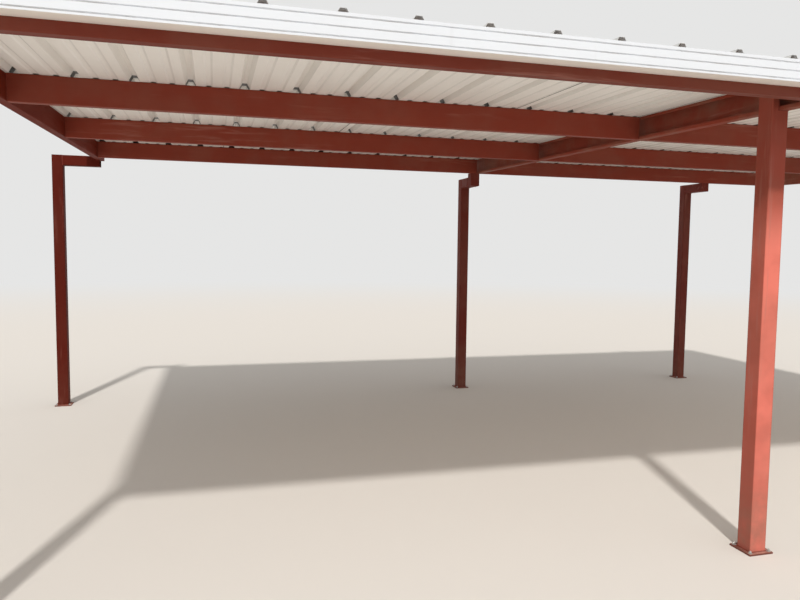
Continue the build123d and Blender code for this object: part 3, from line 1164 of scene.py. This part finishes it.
@dataclass
class Stage:
    """Floor, sky and lamps: plain, pale and soft."""

    floor_size: float = 120.0
    floor_colour: Colour = (0.77, 0.725, 0.67)
    backdrop: Colour = (0.79, 0.79, 0.785)
    bright_side: Triple = (0.5, -0.87, 0.0)
    bright_fill: float = 0.8
    dim_fill: float = 0.32
    fill_edge: float = 0.7
    key: float = 2.1
    key_direction: Triple = (-0.18, -0.64, 0.745)
    key_colour: Colour = (1.0, 0.98, 0.95)
    key_softness: float = 3.0
    clear_radius: float = 9.0
    fade_radius: float = 30.0

    def build(self) -> None:
        """Makes the floor, the world and the key lamp."""
        self.make_floor()
        self.make_world()
        self.make_key()

    def make_floor(self) -> None:
        """A level floor that fades into the backdrop far from the carport."""
        half = self.floor_size / 2
        mesh = bpy.data.meshes.new("floor")
        corners = [(-half, -half, 0), (half, -half, 0), (half, half, 0), (-half, half, 0)]
        mesh.from_pydata(corners, [], [(0, 1, 2, 3)])
        mesh.materials.append(self.floor_material())
        add_object("floor", mesh)

    def floor_material(self) -> bpy.types.Material:
        """Pale floor, plain near the carport and as bright as the backdrop far off.

        Returns:
            The material.
        """
        material = bpy.data.materials.new("pale_floor")
        material.use_nodes = True
        material.node_tree.nodes.clear()
        sketch = NodeSketch(material.node_tree)
        where = sketch.add("ShaderNodeTexCoord").outputs["Object"]
        distance = sketch.add("ShaderNodeVectorMath", {0: where}, operation="LENGTH").outputs["Value"]
        far = sketch.fade(distance, self.clear_radius, self.fade_radius)
        near = sketch.add("ShaderNodeBsdfDiffuse", {"Color": self.floor_colour})
        glow = sketch.add("ShaderNodeEmission", {"Color": self.backdrop})
        blend = sketch.add("ShaderNodeMixShader", {0: far, 1: near.outputs[0], 2: glow.outputs[0]})
        sketch.add("ShaderNodeOutputMaterial", {"Surface": blend.outputs[0]})
        return material

    def make_world(self) -> None:
        """Soft fill light, stronger from the front right, shown to the camera as the pale backdrop."""
        world = bpy.data.worlds.new("studio")
        bpy.context.scene.world = world
        world.use_nodes = True
        world.node_tree.nodes.clear()
        sketch = NodeSketch(world.node_tree)
        path = sketch.add("ShaderNodeLightPath")
        seen = sketch.math("MAXIMUM", path.outputs["Is Camera Ray"], path.outputs["Is Glossy Ray"])
        seen = sketch.math("MAXIMUM", seen, path.outputs["Is Transmission Ray"])
        direction = sketch.add("ShaderNodeTexCoord").outputs["Generated"]
        toward = sketch.dot(direction, self.bright_side)
        strength = sketch.fade(toward, -self.fill_edge, self.fill_edge, self.dim_fill, self.bright_fill)
        fill = sketch.add("ShaderNodeBackground", {"Color": (1.0, 1.0, 1.0), "Strength": strength})
        shown = sketch.add("ShaderNodeBackground", {"Color": self.backdrop, "Strength": 1.0})
        blend = sketch.add("ShaderNodeMixShader", {0: seen, 1: fill.outputs[0], 2: shown.outputs[0]})
        sketch.add("ShaderNodeOutputWorld", {"Surface": blend.outputs[0]})

    def make_key(self) -> None:
        """One soft distant lamp, high and from the front."""
        lamp = bpy.data.lights.new("key", "SUN")
        lamp.energy = self.key
        lamp.angle = math.radians(self.key_softness)
        lamp.color = self.key_colour
        turn = Vector(self.key_direction).to_track_quat("Z", "Y").to_euler()
        add_object("key", lamp).rotation_euler = turn


@dataclass
class PhotoCamera:
    """The photograph's viewpoint, fitted to the roof's ribs and the posts' edges."""

    place: Triple = (-2.7675, -5.1573, 1.6482)
    yaw: float = 0.2666
    pitch: float = -0.0746
    roll: float = 0.0112
    focal_pixels: float = 682.4
    frame_pixels: float = 800.0
    sensor: float = 36.0
    far_clip: float = 300.0

    def build(self) -> None:
        """Makes the camera and sets it as the scene's own."""
        camera = bpy.data.cameras.new("photo_camera")
        camera.sensor_width = self.sensor
        camera.lens = self.focal_pixels / self.frame_pixels * self.sensor
        camera.clip_end = self.far_clip
        ahead = Vector((
            math.sin(self.yaw) * math.cos(self.pitch),
            math.cos(self.yaw) * math.cos(self.pitch),
            math.sin(self.pitch),
        ))
        level = Vector((math.cos(self.yaw), -math.sin(self.yaw), 0.0))
        upright = level.cross(ahead)
        across = level * math.cos(self.roll) + upright * math.sin(self.roll)
        above = upright * math.cos(self.roll) - level * math.sin(self.roll)
        turn = Matrix((across, above, -ahead)).transposed().to_4x4()
        holder = add_object("photo_camera", camera)
        holder.matrix_world = Matrix.Translation(self.place) @ turn
        bpy.context.scene.camera = holder


@dataclass
class SteelFrame:
    """The red frame: beam, purlins, rafters, posts, arms and plates, with its welds and anchors."""

    nodes: Nodes
    plane: RoofPlane
    beads: BeadRun
    scatter: PartScatter
    tube_corner: float = 6.4 * MM
    lip: float = 19 * MM
    foot_bead: float = 4.2 * MM
    foot_bead_offset: float = 0.3  # off the tube, as a share of the bead's radius
    joint_bead: float = 3.0 * MM
    seam_bead: float = 1.8 * MM
    seam_pitch: float = 5 * MM
    seam_ripple: float = 0.2
    top_gap: float = 2 * MM
    lip_gap: float = 4 * MM
    web_gap: float = 6 * MM
    seat_bare: float = 0.04  # share of a rafter's flange that the weld under it leaves bare
    saddle: float = 0.75  # share of the back purlin's flange that the welds beside it reach
    anchor_reach: float = 60.3 * MM
    stud_radius: float = 4.76 * MM
    stud_height: float = 15 * MM
    thread_root: float = 0.86  # share of the stud's radius
    thread_pitch: float = 1.6 * MM
    nut_radius: float = 8.25 * MM
    nut_height: float = 8.3 * MM
    washer_radius: float = 11 * MM
    washer_height: float = 1.7 * MM

    def dress(self) -> None:
        """Paints every member, with its scuffs along the way it runs, then adds what is fitted."""
        paints = self.paints()
        for name, node in self.nodes.items():
            for start, paint in paints.items():
                if name.startswith(start):
                    dress_node(node, paint)
                    break
        self.weld()
        self.anchor()

    @staticmethod
    def paints() -> dict[str, RedOxidePaint]:
        """Chooses the paint of each member by how its name starts. The darker paints of the rear posts,
        rear arms and left rafter are painted shade.

        Returns:
            The paints, with the names that a longer name sets apart before the shorter ones.
        """
        # The rear posts and arms get darker copies of the red paint as painted shade, darkest on the left
        # post and arm.
        shaded_red, deeper_shaded_red = (0.158, 0.024, 0.015), (0.098, 0.0115, 0.006)
        rear_posts = RedOxidePaint("red_paint_rear_posts", Grain.UPRIGHT, shaded_red, splash=0.35)
        return {
            "rear_post_left": RedOxidePaint(
                "red_paint_rear_left_post", Grain.UPRIGHT, deeper_shaded_red, scuffs=0.25, haze=0.03, shine=0.06,
                splash=0.1,
            ),
            "arm_left": RedOxidePaint(
                "red_paint_rear_left_arm", Grain.ACROSS, deeper_shaded_red, haze=0.03, shine=0.06
            ),
            "arm": RedOxidePaint("red_paint_rear_arms", Grain.NONE, shaded_red),
            "front_beam": RedOxidePaint("red_paint_front_beam", Grain.ACROSS, (0.172, 0.031, 0.0175)),
            "purlin": RedOxidePaint("red_paint_across", Grain.ACROSS),
            # The left rafter gets a darker copy of the red paint as painted shade.
            "rafter_left": RedOxidePaint(
                "red_paint_left_rafter", Grain.UP_SLOPE, (0.145, 0.0185, 0.0085), scuffs=0.2, haze=0.04,
                shine=0.06,
            ),
            "rafter": RedOxidePaint(
                "red_paint_up_slope", Grain.UP_SLOPE, (0.25, 0.046, 0.026), haze=0.5, shine=0.06
            ),
            # The front posts get painted sunlight below the eave's shadow line.
            "front_post": RedOxidePaint("red_paint_front_posts", Grain.UPRIGHT, splash=0.6, sun=0.88),
            "rear_post": rear_posts,
            "stub": rear_posts,
            "base_plate": RedOxidePaint(
                "red_paint_plates", Grain.NONE, (0.15, 0.035, 0.024), dust=(0.70, 0.37, 0.29),
                settled=0.95, splash=0.2,
            ),
        }

    def weld(self) -> None:
        """Lays the weld beads at the posts' feet, at the joints and along the flush seams."""
        paint = RedOxidePaint(
            "red_paint_welds", colour=(0.20, 0.033, 0.02), dust=(0.60, 0.27, 0.20), drift=0.9, scuffs=0.15,
            relief_depth=0.6 * MM,
        )
        feet = [self.foot_route(end, side) for end in ("front", "rear") for side in SIDES]
        self.beads.lay("post_foot_welds", feet, paint, Slot.FRAME, self.foot_bead)
        joints = self.front_post_routes() + self.purlin_end_routes() + self.rafter_front_routes()
        joints += self.rear_arm_routes()
        self.beads.lay("joint_welds", joints, paint, Slot.FRAME, self.joint_bead)
        self.beads.lay(
            "seam_welds", self.seam_routes(), paint, Slot.FRAME, self.seam_bead, self.seam_pitch,
            self.seam_ripple,
        )

    def foot_route(self, end: str, side: str) -> Route:
        """Goes round a post's foot, on its base plate.

        Args:
            end: Front or rear.
            side: Left, middle or right.

        Returns:
            The route's points.
        """
        low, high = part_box(f"{end}_post_{side}")
        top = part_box(f"base_plate_{end}_{side}")[1].z
        corner = self.tube_corner
        reach = corner + self.foot_bead_offset * self.foot_bead
        left, right, front, back = low.x + corner, high.x - corner, low.y + corner, high.y - corner
        route = []
        for quarter, (x, y) in enumerate(((right, back), (left, back), (left, front), (right, front))):
            for step in range(4):
                turn = math.radians(90 * quarter + 30 * step)
                route.append(Vector((x + reach * math.cos(turn), y + reach * math.sin(turn), top)))
        return route + [route[0].copy()]

    def front_post_routes(self) -> list[Route]:
        """Goes down beside each rafter and under it, on a front post's front and back.

        Returns:
            The routes.
        """
        routes = []
        for side in SIDES:
            low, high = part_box(f"front_post_{side}")
            outer, inner = (corner.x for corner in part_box(f"rafter_{side}"))
            if side == "right":
                outer, inner = inner, outer
            inner_end = inner + (outer - inner) * self.seat_bare
            for y in (low.y, high.y):
                top = Vector((outer, y, high.z - self.top_gap))
                routes.append([top, self.plane.underside(outer, y), self.plane.underside(inner_end, y)])
        return routes

    def upright(self, x: float, along: float, start: float, end: float) -> Route:
        """Goes straight through the framing's depth at one place on the slope.

        Args:
            x: Distance to the right.
            along: Distance up the slope.
            start: The first point's lift off the framing's tops.
            end: The last point's lift.

        Returns:
            The route.
        """
        return [self.plane.at(x, along, start), self.plane.at(x, along, end)]

    def purlin_end_routes(self) -> list[Route]:
        """Goes up each purlin's web at its two ends, or only along the lips it meets.

        Returns:
            The routes.
        """
        top, bottom = -self.web_gap, self.web_gap - self.plane.depth
        web = ((top, bottom),)
        lips = ((top, -self.lip), (self.lip - self.plane.depth, bottom))
        routes = []
        for number, along in enumerate(self.plane.rows[1:], start=1):
            for side in ("left", "right"):
                low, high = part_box(f"purlin_{number}_{side}")
                open_end = high.x if side == "left" else None
                for x in (low.x, high.x):
                    spans = lips if x == open_end else web
                    routes += [self.upright(x, along, *span) for span in spans]
        return routes

    def rafter_front_routes(self) -> list[Route]:
        """Goes along the front beam's lips beside each rafter's front end.

        Returns:
            The routes.
        """
        depth = self.plane.depth
        lips = ((-self.lip_gap, -self.lip), (self.lip - depth, self.lip_gap - depth))
        ends = [corner.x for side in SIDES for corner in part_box(f"rafter_{side}")]
        return [self.upright(x, self.plane.flange, *lip) for x in ends for lip in lips]

    def rear_arm_routes(self) -> list[Route]:
        """Goes round the rear arms' ends, and along their seats under the frame.

        Returns:
            The routes.
        """
        arm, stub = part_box("arm_middle"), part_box("stub_middle")
        right_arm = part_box("arm_right")
        routes = [
            self.cradle(*arm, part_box("rear_post_middle")[0].y),
            self.cradle(*right_arm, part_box("rear_post_right")[0].y),
            self.cradle(*arm, stub[1].y),
            self.seat(*stub),
            self.seat(*right_arm),
        ]
        low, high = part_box("arm_left")
        stop = high.z - self.top_gap
        end = ((low.y, stop), (low.y, low.z), (high.y, low.z), (high.y, stop))
        routes.append([Vector((low.x, y, z)) for y, z in end])
        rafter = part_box("rafter_left")[0].x
        corners = ((rafter, low.y), (high.x, low.y), (high.x, high.y), (rafter, high.y))
        notch = [self.plane.underside(x, y) for x, y in corners]
        lift = self.plane.out * self.lip
        return routes + [[notch[0] + lift, *notch, notch[-1] + lift]]

    def cradle(self, low: Vector, high: Vector, y: float) -> Route:
        """Goes down one side, along the bottom and up the other side of a tube's end.

        Args:
            low: The tube's lowest corner.
            high: Its highest corner.
            y: Where it meets the upright.

        Returns:
            The route.
        """
        stop = high.z - self.top_gap
        corners = ((low.x, stop), (low.x, low.z), (high.x, low.z), (high.x, stop))
        return [Vector((x, y, z)) for x, z in corners]

    def seat(self, low: Vector, high: Vector) -> Route:
        """Goes round the front of a tube's top, where the back purlin lies on it.

        Args:
            low: The tube's lowest corner.
            high: Its highest corner.

        Returns:
            The route.
        """
        back = low.y + self.saddle * self.plane.flange
        corners = ((low.x, back), (low.x, low.y), (high.x, low.y), (high.x, back))
        return [self.plane.underside(x, y) for x, y in corners]

    def seam_routes(self) -> list[Route]:
        """Goes along the flush seams on the framing's underside.

        Returns:
            The routes.
        """
        level, flange, inset = -self.plane.depth, self.plane.flange, self.lip_gap
        routes = []
        for number, along in enumerate(self.plane.rows[1:], start=1):
            for side in ("left", "right"):
                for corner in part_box(f"purlin_{number}_{side}"):
                    ends = (along + inset, along + flange - inset)
                    routes.append([self.plane.at(corner.x, end, level) for end in ends])
        for side in SIDES:
            low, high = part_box(f"rafter_{side}")
            routes.append([self.plane.at(x, flange, level) for x in (low.x + inset, high.x - inset)])
        return routes

    def anchor(self) -> None:
        """Sets a stud, a washer and a nut in each hole of the base plates."""
        spots = []
        for name in sorted(name for name in self.nodes if name.startswith("base_plate")):
            low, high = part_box(name)
            middle = (low + high) / 2
            for x in (-self.anchor_reach, self.anchor_reach):
                for y in (-self.anchor_reach, self.anchor_reach):
                    spots.append(Spot(Vector((middle.x + x, middle.y + y, high.z)), UP))
        zinc = ZincPlate("zinc_plate")
        for seed, (name, part) in enumerate((
            ("anchor_studs", self.stud()), ("anchor_washers", self.washer()), ("anchor_nuts", self.nut()),
        ), start=3):
            self.scatter.set_on(name, spots, part, zinc, Slot.ZINC, seed=seed)

    def stud(self) -> bpy.types.Object:
        """Makes the threaded end of an anchor stud.

        Returns:
            The stud's object.
        """
        root = self.thread_root * self.stud_radius
        turns = int(self.stud_height / self.thread_pitch)
        stack = [Ring(root, 0.0), *thread(root, self.stud_radius, self.thread_pitch, turns)]
        return turned_part("stud", [(10, stack)])

    def washer(self) -> bpy.types.Object:
        """Makes an anchor's flat washer, with its upper edge eased.

        Returns:
            The washer's object.
        """
        radius, height = self.washer_radius, self.washer_height
        stack = (Ring(radius, 0.0), Ring(radius, 0.8 * height), Ring(0.95 * radius, height))
        return turned_part("washer", [(18, stack)])

    def nut(self) -> bpy.types.Object:
        """Makes an anchor's hex nut above its washer, with both ends eased.

        Returns:
            The nut's object.
        """
        radius, bottom = self.nut_radius, self.washer_height
        top = bottom + self.nut_height
        stack = (
            Ring(0.93 * radius, bottom), Ring(radius, bottom + 0.7 * MM),
            Ring(radius, top - 0.9 * MM), Ring(0.9 * radius, top),
        )
        return turned_part("nut", [(6, stack)])


@dataclass
class Roof:
    """The white ribbed sheets and their rake trims, with their screws, seals and dark lap beads of painted
    shadow.
    """

    nodes: Nodes
    plane: RoofPlane
    scatter: PartScatter
    gauge: float = 0.6 * MM
    rib_height: float = 31.75 * MM
    rib_base: float = 62 * MM
    rib_crest: float = 25.4 * MM
    ribs_per_sheet: int = 3
    edge_to_rib: float = 77 * MM
    screw_from_rib: float = 55 * MM
    lap_screw_pitch: float = 508 * MM
    lap_screw_start: float = 0.4  # the first screw's place, in pitches
    trim_screw_pitch: float = 600 * MM
    trim_screw_start: float = 0.25  # the first screw's place, in pitches
    trim_screw_inset: float = 24 * MM
    washer_height: float = 1.5 * MM
    screw_length: float = 15 * MM
    screw_tip: float = 4 * MM
    flange_gauge: float = 1.9 * MM
    # The dark lap beads are painted shadow of the gap under each lap, shaped as squeezed-out sealant.
    sealant_width: float = 5 * MM
    sealant_depth: float = 1 * MM
    sealant_step: float = 30 * MM
    sealant_gap: float = 3 * MM
    sealant_seed: int = 163
    sealant_share: float = 0.35
    closure_length: float = 24 * MM
    closure_ease: float = 0.6 * MM

    def dress(self) -> None:
        """Paints the sheets and the trims, then adds screws, dark lap beads of painted shadow, and rib
        closures whose dark foam also stands for shade.
        """
        sheet = BakedWhiteSheet("white_sheet", self.plane)
        trim = GutterEnamel("white_trim", silt=0.35)
        for name, node in self.nodes.items():
            if name.startswith("roof_sheet"):
                dress_node(node, sheet)
            elif name.startswith("rake_trim"):
                dress_node(node, trim)
        self.screw_down()
        self.seal_laps()
        self.close_ribs()

    def laps(self) -> list[float]:
        """Lists where the lapped ribs' centres are, from the sheets' edges."""
        sheets = sorted(name for name in self.nodes if name.startswith("roof_sheet"))
        return [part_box(name)[0].x + self.edge_to_rib for name in sheets[1:]]

    def ribs(self) -> list[float]:
        """Lists the centres of all whole ribs, from the left.

        Returns:
            The centres' distances to the right.
        """
        laps = self.laps()
        pitch = (laps[1] - laps[0]) / self.ribs_per_sheet
        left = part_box("rake_trim_left")[0].x + self.rib_base
        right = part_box("rake_trim_right")[1].x - self.rib_base
        before = int((laps[0] - left) / pitch)
        after = int((right - laps[0]) / pitch)
        return [laps[0] + step * pitch for step in range(-before, after + 1)]

    def screw_down(self) -> None:
        """Sets the roofing screws, the lap screws and the trims' screws."""
        spots = self.pan_spots() + self.crest_spots() + self.trim_spots()
        zinc, rubber = ZincPlate("zinc_plate"), SoftSeal("washer_rubber")
        self.scatter.set_on("roof_screw_washers", spots, self.washer(), rubber, Slot.RUBBER, seed=11)
        self.scatter.set_on("roof_screw_heads", spots, self.head(), zinc, Slot.ZINC, seed=12)
        through = self.pan_spots(below=True)
        self.scatter.set_on("roof_screw_points", through, self.point(), zinc, Slot.ZINC, seed=13)

    def pan_spots(self, below: bool = False) -> list[Spot]:
        """Lists where the screws beside the ribs go in, or where they come out.

        Args:
            below: Whether the spots are wanted under the flanges.

        Returns:
            The spots, two beside each rib over the outer members and one over the others.
        """
        laps = self.laps()
        facing = -self.plane.out if below else self.plane.out
        spots = []
        for row, along in enumerate(self.plane.rows):
            outer_row = row in (0, len(self.plane.rows) - 1)
            for rib in self.ribs():
                for side in ((-1, 1) if outer_row else (1,)):
                    lapped = side < 0 and min(abs(rib - lap) for lap in laps) < MM
                    lift = -self.flange_gauge if below else self.gauge * (2 if lapped else 1)
                    x, place = rib + side * self.screw_from_rib, along + self.plane.flange / 2
                    spots.append(Spot(self.plane.at(x, place, lift), facing))
        return spots

    def crest_spots(self) -> list[Spot]:
        """Lists where the lap screws stand.

        Returns:
            The spots, on the crests of the lapped ribs.
        """
        start, end = self.plane.rows[0], self.plane.rows[-1] + self.plane.flange
        steps = range(int((end - start) / self.lap_screw_pitch) + 1)
        places = [start + (step + self.lap_screw_start) * self.lap_screw_pitch for step in steps]
        lift = self.rib_height + 2 * self.gauge
        points = [self.plane.at(lap, place, lift) for lap in self.laps() for place in places]
        return [Spot(point, self.plane.out) for point in points]

    def trim_spots(self) -> list[Spot]:
        """Lists where the screws of the rake trims stand.

        Returns:
            The spots, on the trims' top legs.
        """
        spots = []
        for side, hand in (("left", 1), ("right", -1)):
            low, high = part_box(f"rake_trim_{side}")
            x = (low.x if hand > 0 else high.x) + hand * self.trim_screw_inset
            corner = Vector((0.0, high.y, high.z)) - self.plane.foot
            lift = corner.dot(self.plane.out)
            count = int(corner.dot(self.plane.ahead) / self.trim_screw_pitch)
            for step in range(count + 1):
                along = (step + self.trim_screw_start) * self.trim_screw_pitch
                spots.append(Spot(self.plane.at(x, along, lift), self.plane.out))
        return spots

    def washer(self) -> bpy.types.Object:
        """Makes a rubber washer that bulges under its cup.

        Returns:
            The washer's object.
        """
        top = self.washer_height
        stack = (Ring(7.2 * MM, 0.0), Ring(7.8 * MM, 0.5 * top), Ring(7.2 * MM, top))
        return turned_part("rubber_washer", [(14, stack)])

    def head(self) -> bpy.types.Object:
        """Makes a screw's metal cup, flange and hex head, above its washer.

        Returns:
            The head's object.
        """
        base = self.washer_height
        cup = rings([(7.6, -0.2), (7.4, 0.5), (5.6, 1.0)], base)
        flange = rings([(5.4, 0.9), (5.4, 1.6), (4.6, 2.1)], base)
        hexagon = rings([(4.6, 1.9), (4.6, 5.4), (3.9, 6.1)], base)
        return turned_part("screw_head", [(14, cup), (14, flange), (6, hexagon)])

    def point(self) -> bpy.types.Object:
        """Makes the threaded end of a screw, as it comes out under the flange.

        Returns:
            The screw's end.
        """
        turns = 6
        pitch = (self.screw_length - self.screw_tip) / turns
        start, tip = rings([(2.0, -1.0)]), rings([(1.9, -2.0), (0.4, 0.0)], self.screw_length)
        stack = [*start, *thread(2.1 * MM, 2.7 * MM, pitch, turns), *tip]
        return turned_part("screw_point", [(8, stack)])

    def seal_laps(self) -> None:
        """Runs a thin dark bead along a lap's edge in some bays, as a painted shadow of the gap under the
        lapping sheet, shaped as squeezed-out sealant.
        """
        chance = random.Random(self.sealant_seed)
        shape = bmesh.new()
        rows, flange, gap = self.plane.rows, self.plane.flange, self.sealant_gap
        stretches = [(near + flange + gap, far - gap) for near, far in zip(rows, rows[1:])]
        for lap in self.laps():
            for start, end in stretches:
                if chance.random() < self.sealant_share:
                    self.add_strip(shape, lap - self.edge_to_rib - MM, start, end, chance.random())
        piece = finished("lap_sealant", shape)
        # Near-black: painted shadow of the gap under the lap.
        sealant = SoftSeal("butyl_sealant", (0.045, 0.042, 0.038), 0.7, 60.0)
        piece.data.materials.append(sealant.material())
        declare(piece)

    def add_strip(self, shape: bmesh.types.BMesh, x: float, start: float, end: float, seed: float) -> None:
        """Adds one flat bead under the sheets.

        Args:
            shape: The mesh to add to.
            x: The bead's middle line.
            start: Its lower end, up the slope.
            end: Its upper end.
            seed: What its uneven width is drawn from.
        """
        chance = random.Random(seed)
        steps = max(2, round((end - start) / self.sealant_step))
        sections = []
        for step in range(steps + 1):
            along = start + (end - start) * step / steps
            half = self.sealant_width / 2 * chance.uniform(0.7, 1.3)
            drop = self.sealant_depth * chance.uniform(0.7, 1.2)
            outline = ((half, 0.0), (0.4 * half, -drop), (-0.4 * half, -drop), (-half, 0.0))
            corners = [self.plane.at(x + across, along, lift) for across, lift in outline]
            sections.append([shape.verts.new(corner) for corner in corners])
        skin(shape, sections)

    def close_ribs(self) -> None:
        """Fills the ribs over the back purlin with dark foam closures, which also stand for the shade
        inside those ribs.
        """
        along = self.plane.rows[-1] + 0.4 * self.plane.flange
        spots = [Spot(self.plane.at(rib, along, 0.2 * MM), self.plane.ahead) for rib in self.ribs()]
        # Near-black foam, which also stands for the shade inside the ribs over the back purlin.
        foam = SoftSeal("closure_foam", (0.035, 0.034, 0.033), 0.9, 400.0, 1 * MM)
        self.scatter.set_on("rib_closures", spots, self.closure(), foam, Slot.RUBBER, spin=0.0)

    def closure(self) -> bpy.types.Object:
        """Makes one foam closure, with its height along -Y and its thickness along Z.

        Returns:
            The closure's object.
        """
        ease = self.closure_ease
        base, crest, top = self.rib_base / 2 - ease, self.rib_crest / 2 - ease, self.rib_height - ease
        outline = ((-base, 0.0), (-crest, -top), (crest, -top), (base, 0.0))
        shape = bmesh.new()
        skin(shape, [[shape.verts.new((x, y, z)) for x, y in outline] for z in (0.0, self.closure_length)])
        return finished("closure", shape)


@dataclass
class RainGoods:
    """The gutter with its caps, straps and outlet, and the downspout with its rivets and screws."""

    nodes: Nodes
    plane: RoofPlane
    scatter: PartScatter
    beads: BeadRun
    wall: float = 0.8 * MM
    drop: float = 5 * MM
    height: float = 100 * MM
    bead: float = 3.2 * MM
    bead_pitch: float = 18 * MM
    bead_ripple: float = 0.1
    bead_top: float = 12 * MM
    rivet_inset: float = 16 * MM
    rivet_rise: float = 12 * MM
    strap_width: float = 25 * MM
    strap_gauge: float = 1 * MM
    strap_ear: float = 6 * MM

    def dress(self) -> None:
        """Gives the gutter and the downspout their enamel, then seals and fixes them."""
        trough = GutterEnamel("gutter_enamel")
        pipe = GutterEnamel("downspout_enamel", silt=0.3)
        for name, node in self.nodes.items():
            if name.startswith("gutter"):
                dress_node(node, trough)
            elif name.startswith("downspout"):
                dress_node(node, pipe)
        self.seal_ends()
        self.rivet_pipe()
        self.screw_straps()

    def seal_ends(self) -> None:
        """Runs a bead of sealant inside the gutter along both end caps."""
        low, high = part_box("gutter")
        clear = 1.5 * self.wall
        back, front = -clear, low.y - self.plane.foot.y + clear
        top, bottom = -self.drop - self.bead_top, -self.drop - self.height + clear
        profile = ((back, top), (back, bottom), (front, bottom), (front, top))
        ends = (low.x + self.wall, high.x - self.wall)
        routes = [[self.plane.at(x, along, lift) for along, lift in profile] for x in ends]
        sealant = SoftSeal("gutter_sealant", (0.42, 0.42, 0.40), 0.4, 40.0)
        self.beads.lay(
            "gutter_sealant", routes, sealant, Slot.GUTTER, self.bead, self.bead_pitch, self.bead_ripple
        )

    @staticmethod
    def front_spots(xs: Sequence[float], y: float, zs: Sequence[float]) -> list[Spot]:
        """Lists spots on an upright face that looks to the front.

        Args:
            xs: Their places to the right.
            y: The face.
            zs: Their heights.

        Returns:
            The spots, row by row.
        """
        return [Spot(Vector((x, y, z)), FRONT) for z in zs for x in xs]

    def rivet_pipe(self) -> None:
        """Sets pop rivets at the downspout's two joints."""
        low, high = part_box("downspout_pipe")
        inset, rise = self.rivet_inset, self.rivet_rise
        spots = self.front_spots((low.x + inset, high.x - inset), low.y, (low.z + rise, high.z - rise))
        rivet = turned_part("rivet", [(12, rings([(3.4, 0.0), (3.2, 0.7), (2.0, 1.3), (0.9, 1.4)]))])
        enamel = GutterEnamel("rivet_enamel", silt=0.2)
        self.scatter.set_on("downspout_rivets", spots, rivet, enamel, Slot.GUTTER, seed=21)

    def screw_straps(self) -> None:
        """Sets a screw through each ear of the downspout's straps."""
        low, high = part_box("downspout_straps")
        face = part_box("front_post_right")[0].y - self.strap_gauge
        ear, half = self.strap_ear, self.strap_width / 2
        spots = self.front_spots((low.x + ear, high.x - ear), face, (low.z + half, high.z - half))
        flange = rings([(5.2, 0.0), (5.2, 0.8), (4.0, 1.2)])
        hexagon = rings([(4.0, 1.0), (4.0, 4.2), (3.4, 4.9)])
        screw = turned_part("strap_screw", [(14, flange), (6, hexagon)])
        self.scatter.set_on("strap_screws", spots, screw, ZincPlate("zinc_plate"), Slot.ZINC, seed=22)


def main() -> None:
    """Builds the carport's looks in order and reports each group."""
    logging.basicConfig(level=logging.INFO, format="%(name)s: %(message)s")
    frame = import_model()
    nodes = frame["nodes"]
    bpy.context.scene.view_settings.view_transform = "Standard"
    PhotoCamera().build()
    Stage().build()
    plane = RoofPlane.of_frame()
    scatter, beads = PartScatter(), BeadRun()
    parts = (
        SteelFrame(nodes, plane, beads, scatter),
        Roof(nodes, plane, scatter),
        RainGoods(nodes, plane, scatter, beads),
    )
    for part in parts:
        part.dress()
        log.info("dressed %s", type(part).__name__)


if __name__ == "__main__":
    main()
